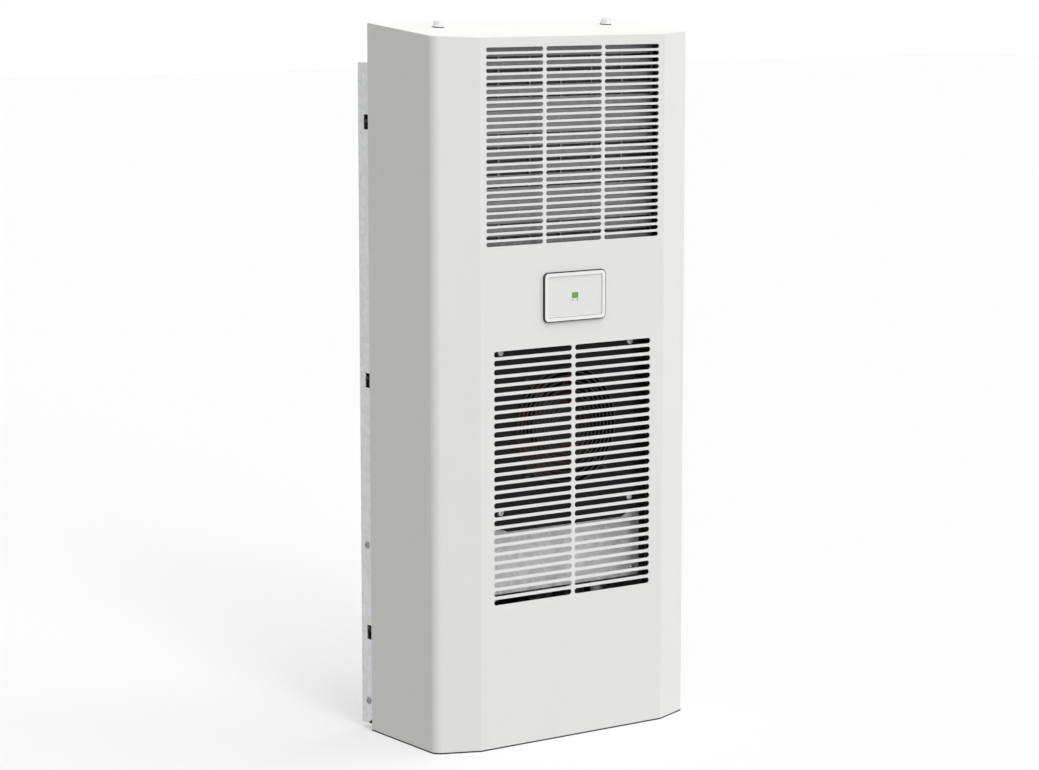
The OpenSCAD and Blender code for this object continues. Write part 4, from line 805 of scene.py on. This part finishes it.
class COOLER_OT_display(bpy.types.Operator):
    """Finish the display: gloss rim, satin film, green lamp and two small lenses"""

    bl_idname = "cooler.display"
    bl_label = "Display"

    def execute(self, context):
        finish = settings("finish")
        # ABS from a polished mould: a crisp highlight runs along the rim.
        rim = moulded_plastic("abs_moulded_gloss_white", finish.bezel,
                              roughness=0.22, grain=2 * MM, depth=0.005 * MM)
        dress(rim, "display_frame")
        # Polyester film, cast with a satin face: no glare over the lamp.
        film = moulded_plastic("polyester_film_satin", finish.film,
                               roughness=0.42, grain=1 * MM, depth=0.01 * MM)
        dress(film, "display_panel")
        dress(moulded_plastic("abs_moulded_black", finish.black_plastic), "display_case")
        dress(glowing_lens("acrylic_lens_green", finish.lamp, glow=0.25), "status_led")
        dress(glowing_lens("acrylic_lens_grey", finish.dots, glow=0.0), "indicator_dots")
        soften(settings("detail").edge_round, "display_frame", "display_case")
        return {"FINISHED"}


class COOLER_OT_studio(bpy.types.Operator):
    """Set up the pale floor, the soft light and the camera"""

    bl_idname = "cooler.studio"
    bl_label = "Studio"

    def execute(self, context):
        studio = settings("studio")
        scene = context.scene
        scene.view_settings.view_transform = "Standard"
        self.add_world(scene, studio.sky)
        self.add_floor(scene, studio)
        rise = (studio.strip_high - studio.strip_low) / (STRIP_LAMPS - 1)
        for k in range(STRIP_LAMPS):
            self.add_lamp(scene, "strip_light", studio.strip / STRIP_LAMPS, studio.strip_turn,
                          studio.strip_low + k * rise, studio.strip_width)
        self.add_lamp(
            scene, "top_light", studio.top, 0.0, studio.top_height, studio.top_width)
        self.add_lamp(
            scene, "fill_light", studio.fill, studio.fill_turn, studio.fill_height,
            studio.fill_width)
        camera = bpy.data.objects.new("camera", bpy.data.cameras.new("camera"))
        camera.data.lens = studio.lens
        camera.data.clip_end = 100.0
        camera.location = studio.eye
        camera.rotation_euler = (math.pi / 2 - studio.tilt, 0.0, -studio.turn)
        scene.collection.objects.link(camera)
        scene.camera = camera
        return {"FINISHED"}

    def add_lamp(self, scene, name, level, turn, height, width):
        """A far lamp of that width, turned to the right of straight ahead and raised."""
        lamp = bpy.data.lights.new(name, "SUN")
        lamp.energy = level
        lamp.angle = width
        holder = bpy.data.objects.new(name, lamp)
        side, front = math.sin(turn) * math.cos(height), -math.cos(turn) * math.cos(height)
        towards = Vector((side, front, math.sin(height)))
        holder.rotation_euler = towards.to_track_quat("Z", "Y").to_euler()
        scene.collection.objects.link(holder)

    def add_world(self, scene, sky):
        """Even light from all round; the camera and mirrors see plain white."""
        world = bpy.data.worlds.new("studio_world")
        world.use_nodes = True
        tree = world.node_tree
        tree.nodes.clear()
        rays = add_node(tree, "ShaderNodeLightPath").outputs
        seen = add_node(tree, "ShaderNodeMath", {
            0: rays["Is Camera Ray"], 1: rays["Is Glossy Ray"]}, operation="MAXIMUM")
        seen = add_node(tree, "ShaderNodeMath", {
            0: seen.outputs[0], 1: rays["Is Transmission Ray"]}, operation="MAXIMUM")
        even = add_node(tree, "ShaderNodeBackground", {"Color": WHITE, "Strength": sky})
        white = add_node(tree, "ShaderNodeBackground", {"Color": WHITE, "Strength": 1.0})
        mixed = add_node(tree, "ShaderNodeMixShader", {
            0: seen.outputs[0], 1: even.outputs[0], 2: white.outputs[0]})
        add_node(tree, "ShaderNodeOutputWorld", {"Surface": mixed.outputs[0]})
        scene.world = world

    def add_floor(self, scene, studio):
        """A pale floor that takes the unit's soft shadow."""
        half = studio.floor_width / 2
        corners = [(x, y, CAD_BOX[0].z)
                   for x, y in ((-half, -half), (half, -half), (half, half), (-half, half))]
        mesh = bpy.data.meshes.new("floor")
        mesh.from_pydata(corners, [], [(0, 1, 2, 3)])
        mesh.materials.append(self.floor_material(studio))
        floor = bpy.data.objects.new("floor", mesh)
        floor.visible_diffuse = False
        floor.visible_glossy = False
        scene.collection.objects.link(floor)

    def floor_material(self, studio):
        """Matt pale paint; the camera also sees a share of white, so the shadow stays light."""
        material, tree, shader = start_material(
            "studio_floor", Roughness=0.9, Specular_IOR_Level=0.0)
        shader.inputs["Base Color"].default_value = tint(studio.floor, 1.0 - studio.floor_white)
        rays = add_node(tree, "ShaderNodeLightPath").outputs
        glow = add_node(tree, "ShaderNodeMath", {
            0: rays["Is Camera Ray"], 1: studio.floor_white}, operation="MULTIPLY")
        shader.inputs["Emission Color"].default_value = WHITE
        tree.links.new(glow.outputs[0], shader.inputs["Emission Strength"])
        return material


STEPS = (COOLER_OT_studio, COOLER_OT_cover, COOLER_OT_sheet_metal, COOLER_OT_coils,
         COOLER_OT_fans, COOLER_OT_refrigeration, COOLER_OT_electrics, COOLER_OT_display)
GROUPS = {"finish": CoolerFinish, "detail": CoolerDetail, "studio": CoolerStudio}


class COOLER_PT_panel(bpy.types.Panel):
    """Lists the steps that finish the cooling unit"""

    bl_idname = "COOLER_PT_panel"
    bl_label = "Cooling Unit"
    bl_space_type = "VIEW_3D"
    bl_region_type = "UI"
    bl_category = "Cooling Unit"

    def draw(self, context):
        for step in STEPS:
            self.layout.operator(step.bl_idname)
        for name, group in GROUPS.items():
            box = self.layout.box()
            box.label(text=name.capitalize())
            for key in group.__annotations__:
                box.prop(settings(name), key)


def register():
    """Adds the settings, the steps and the panel to Blender."""
    for name, group in GROUPS.items():
        bpy.utils.register_class(group)
        setattr(bpy.types.Scene, "cooler_" + name, bpy.props.PointerProperty(type=group))
    for shown in (*STEPS, COOLER_PT_panel):
        bpy.utils.register_class(shown)


def unregister():
    """Takes them out again."""
    for shown in (*STEPS, COOLER_PT_panel):
        bpy.utils.unregister_class(shown)
    for name, group in GROUPS.items():
        delattr(bpy.types.Scene, "cooler_" + name)
        bpy.utils.unregister_class(group)


def main():
    """Runs every step in order."""
    register()
    for step in STEPS:
        space, name = step.bl_idname.split(".")
        getattr(getattr(bpy.ops, space), name)()


if __name__ == "__main__":
    main()
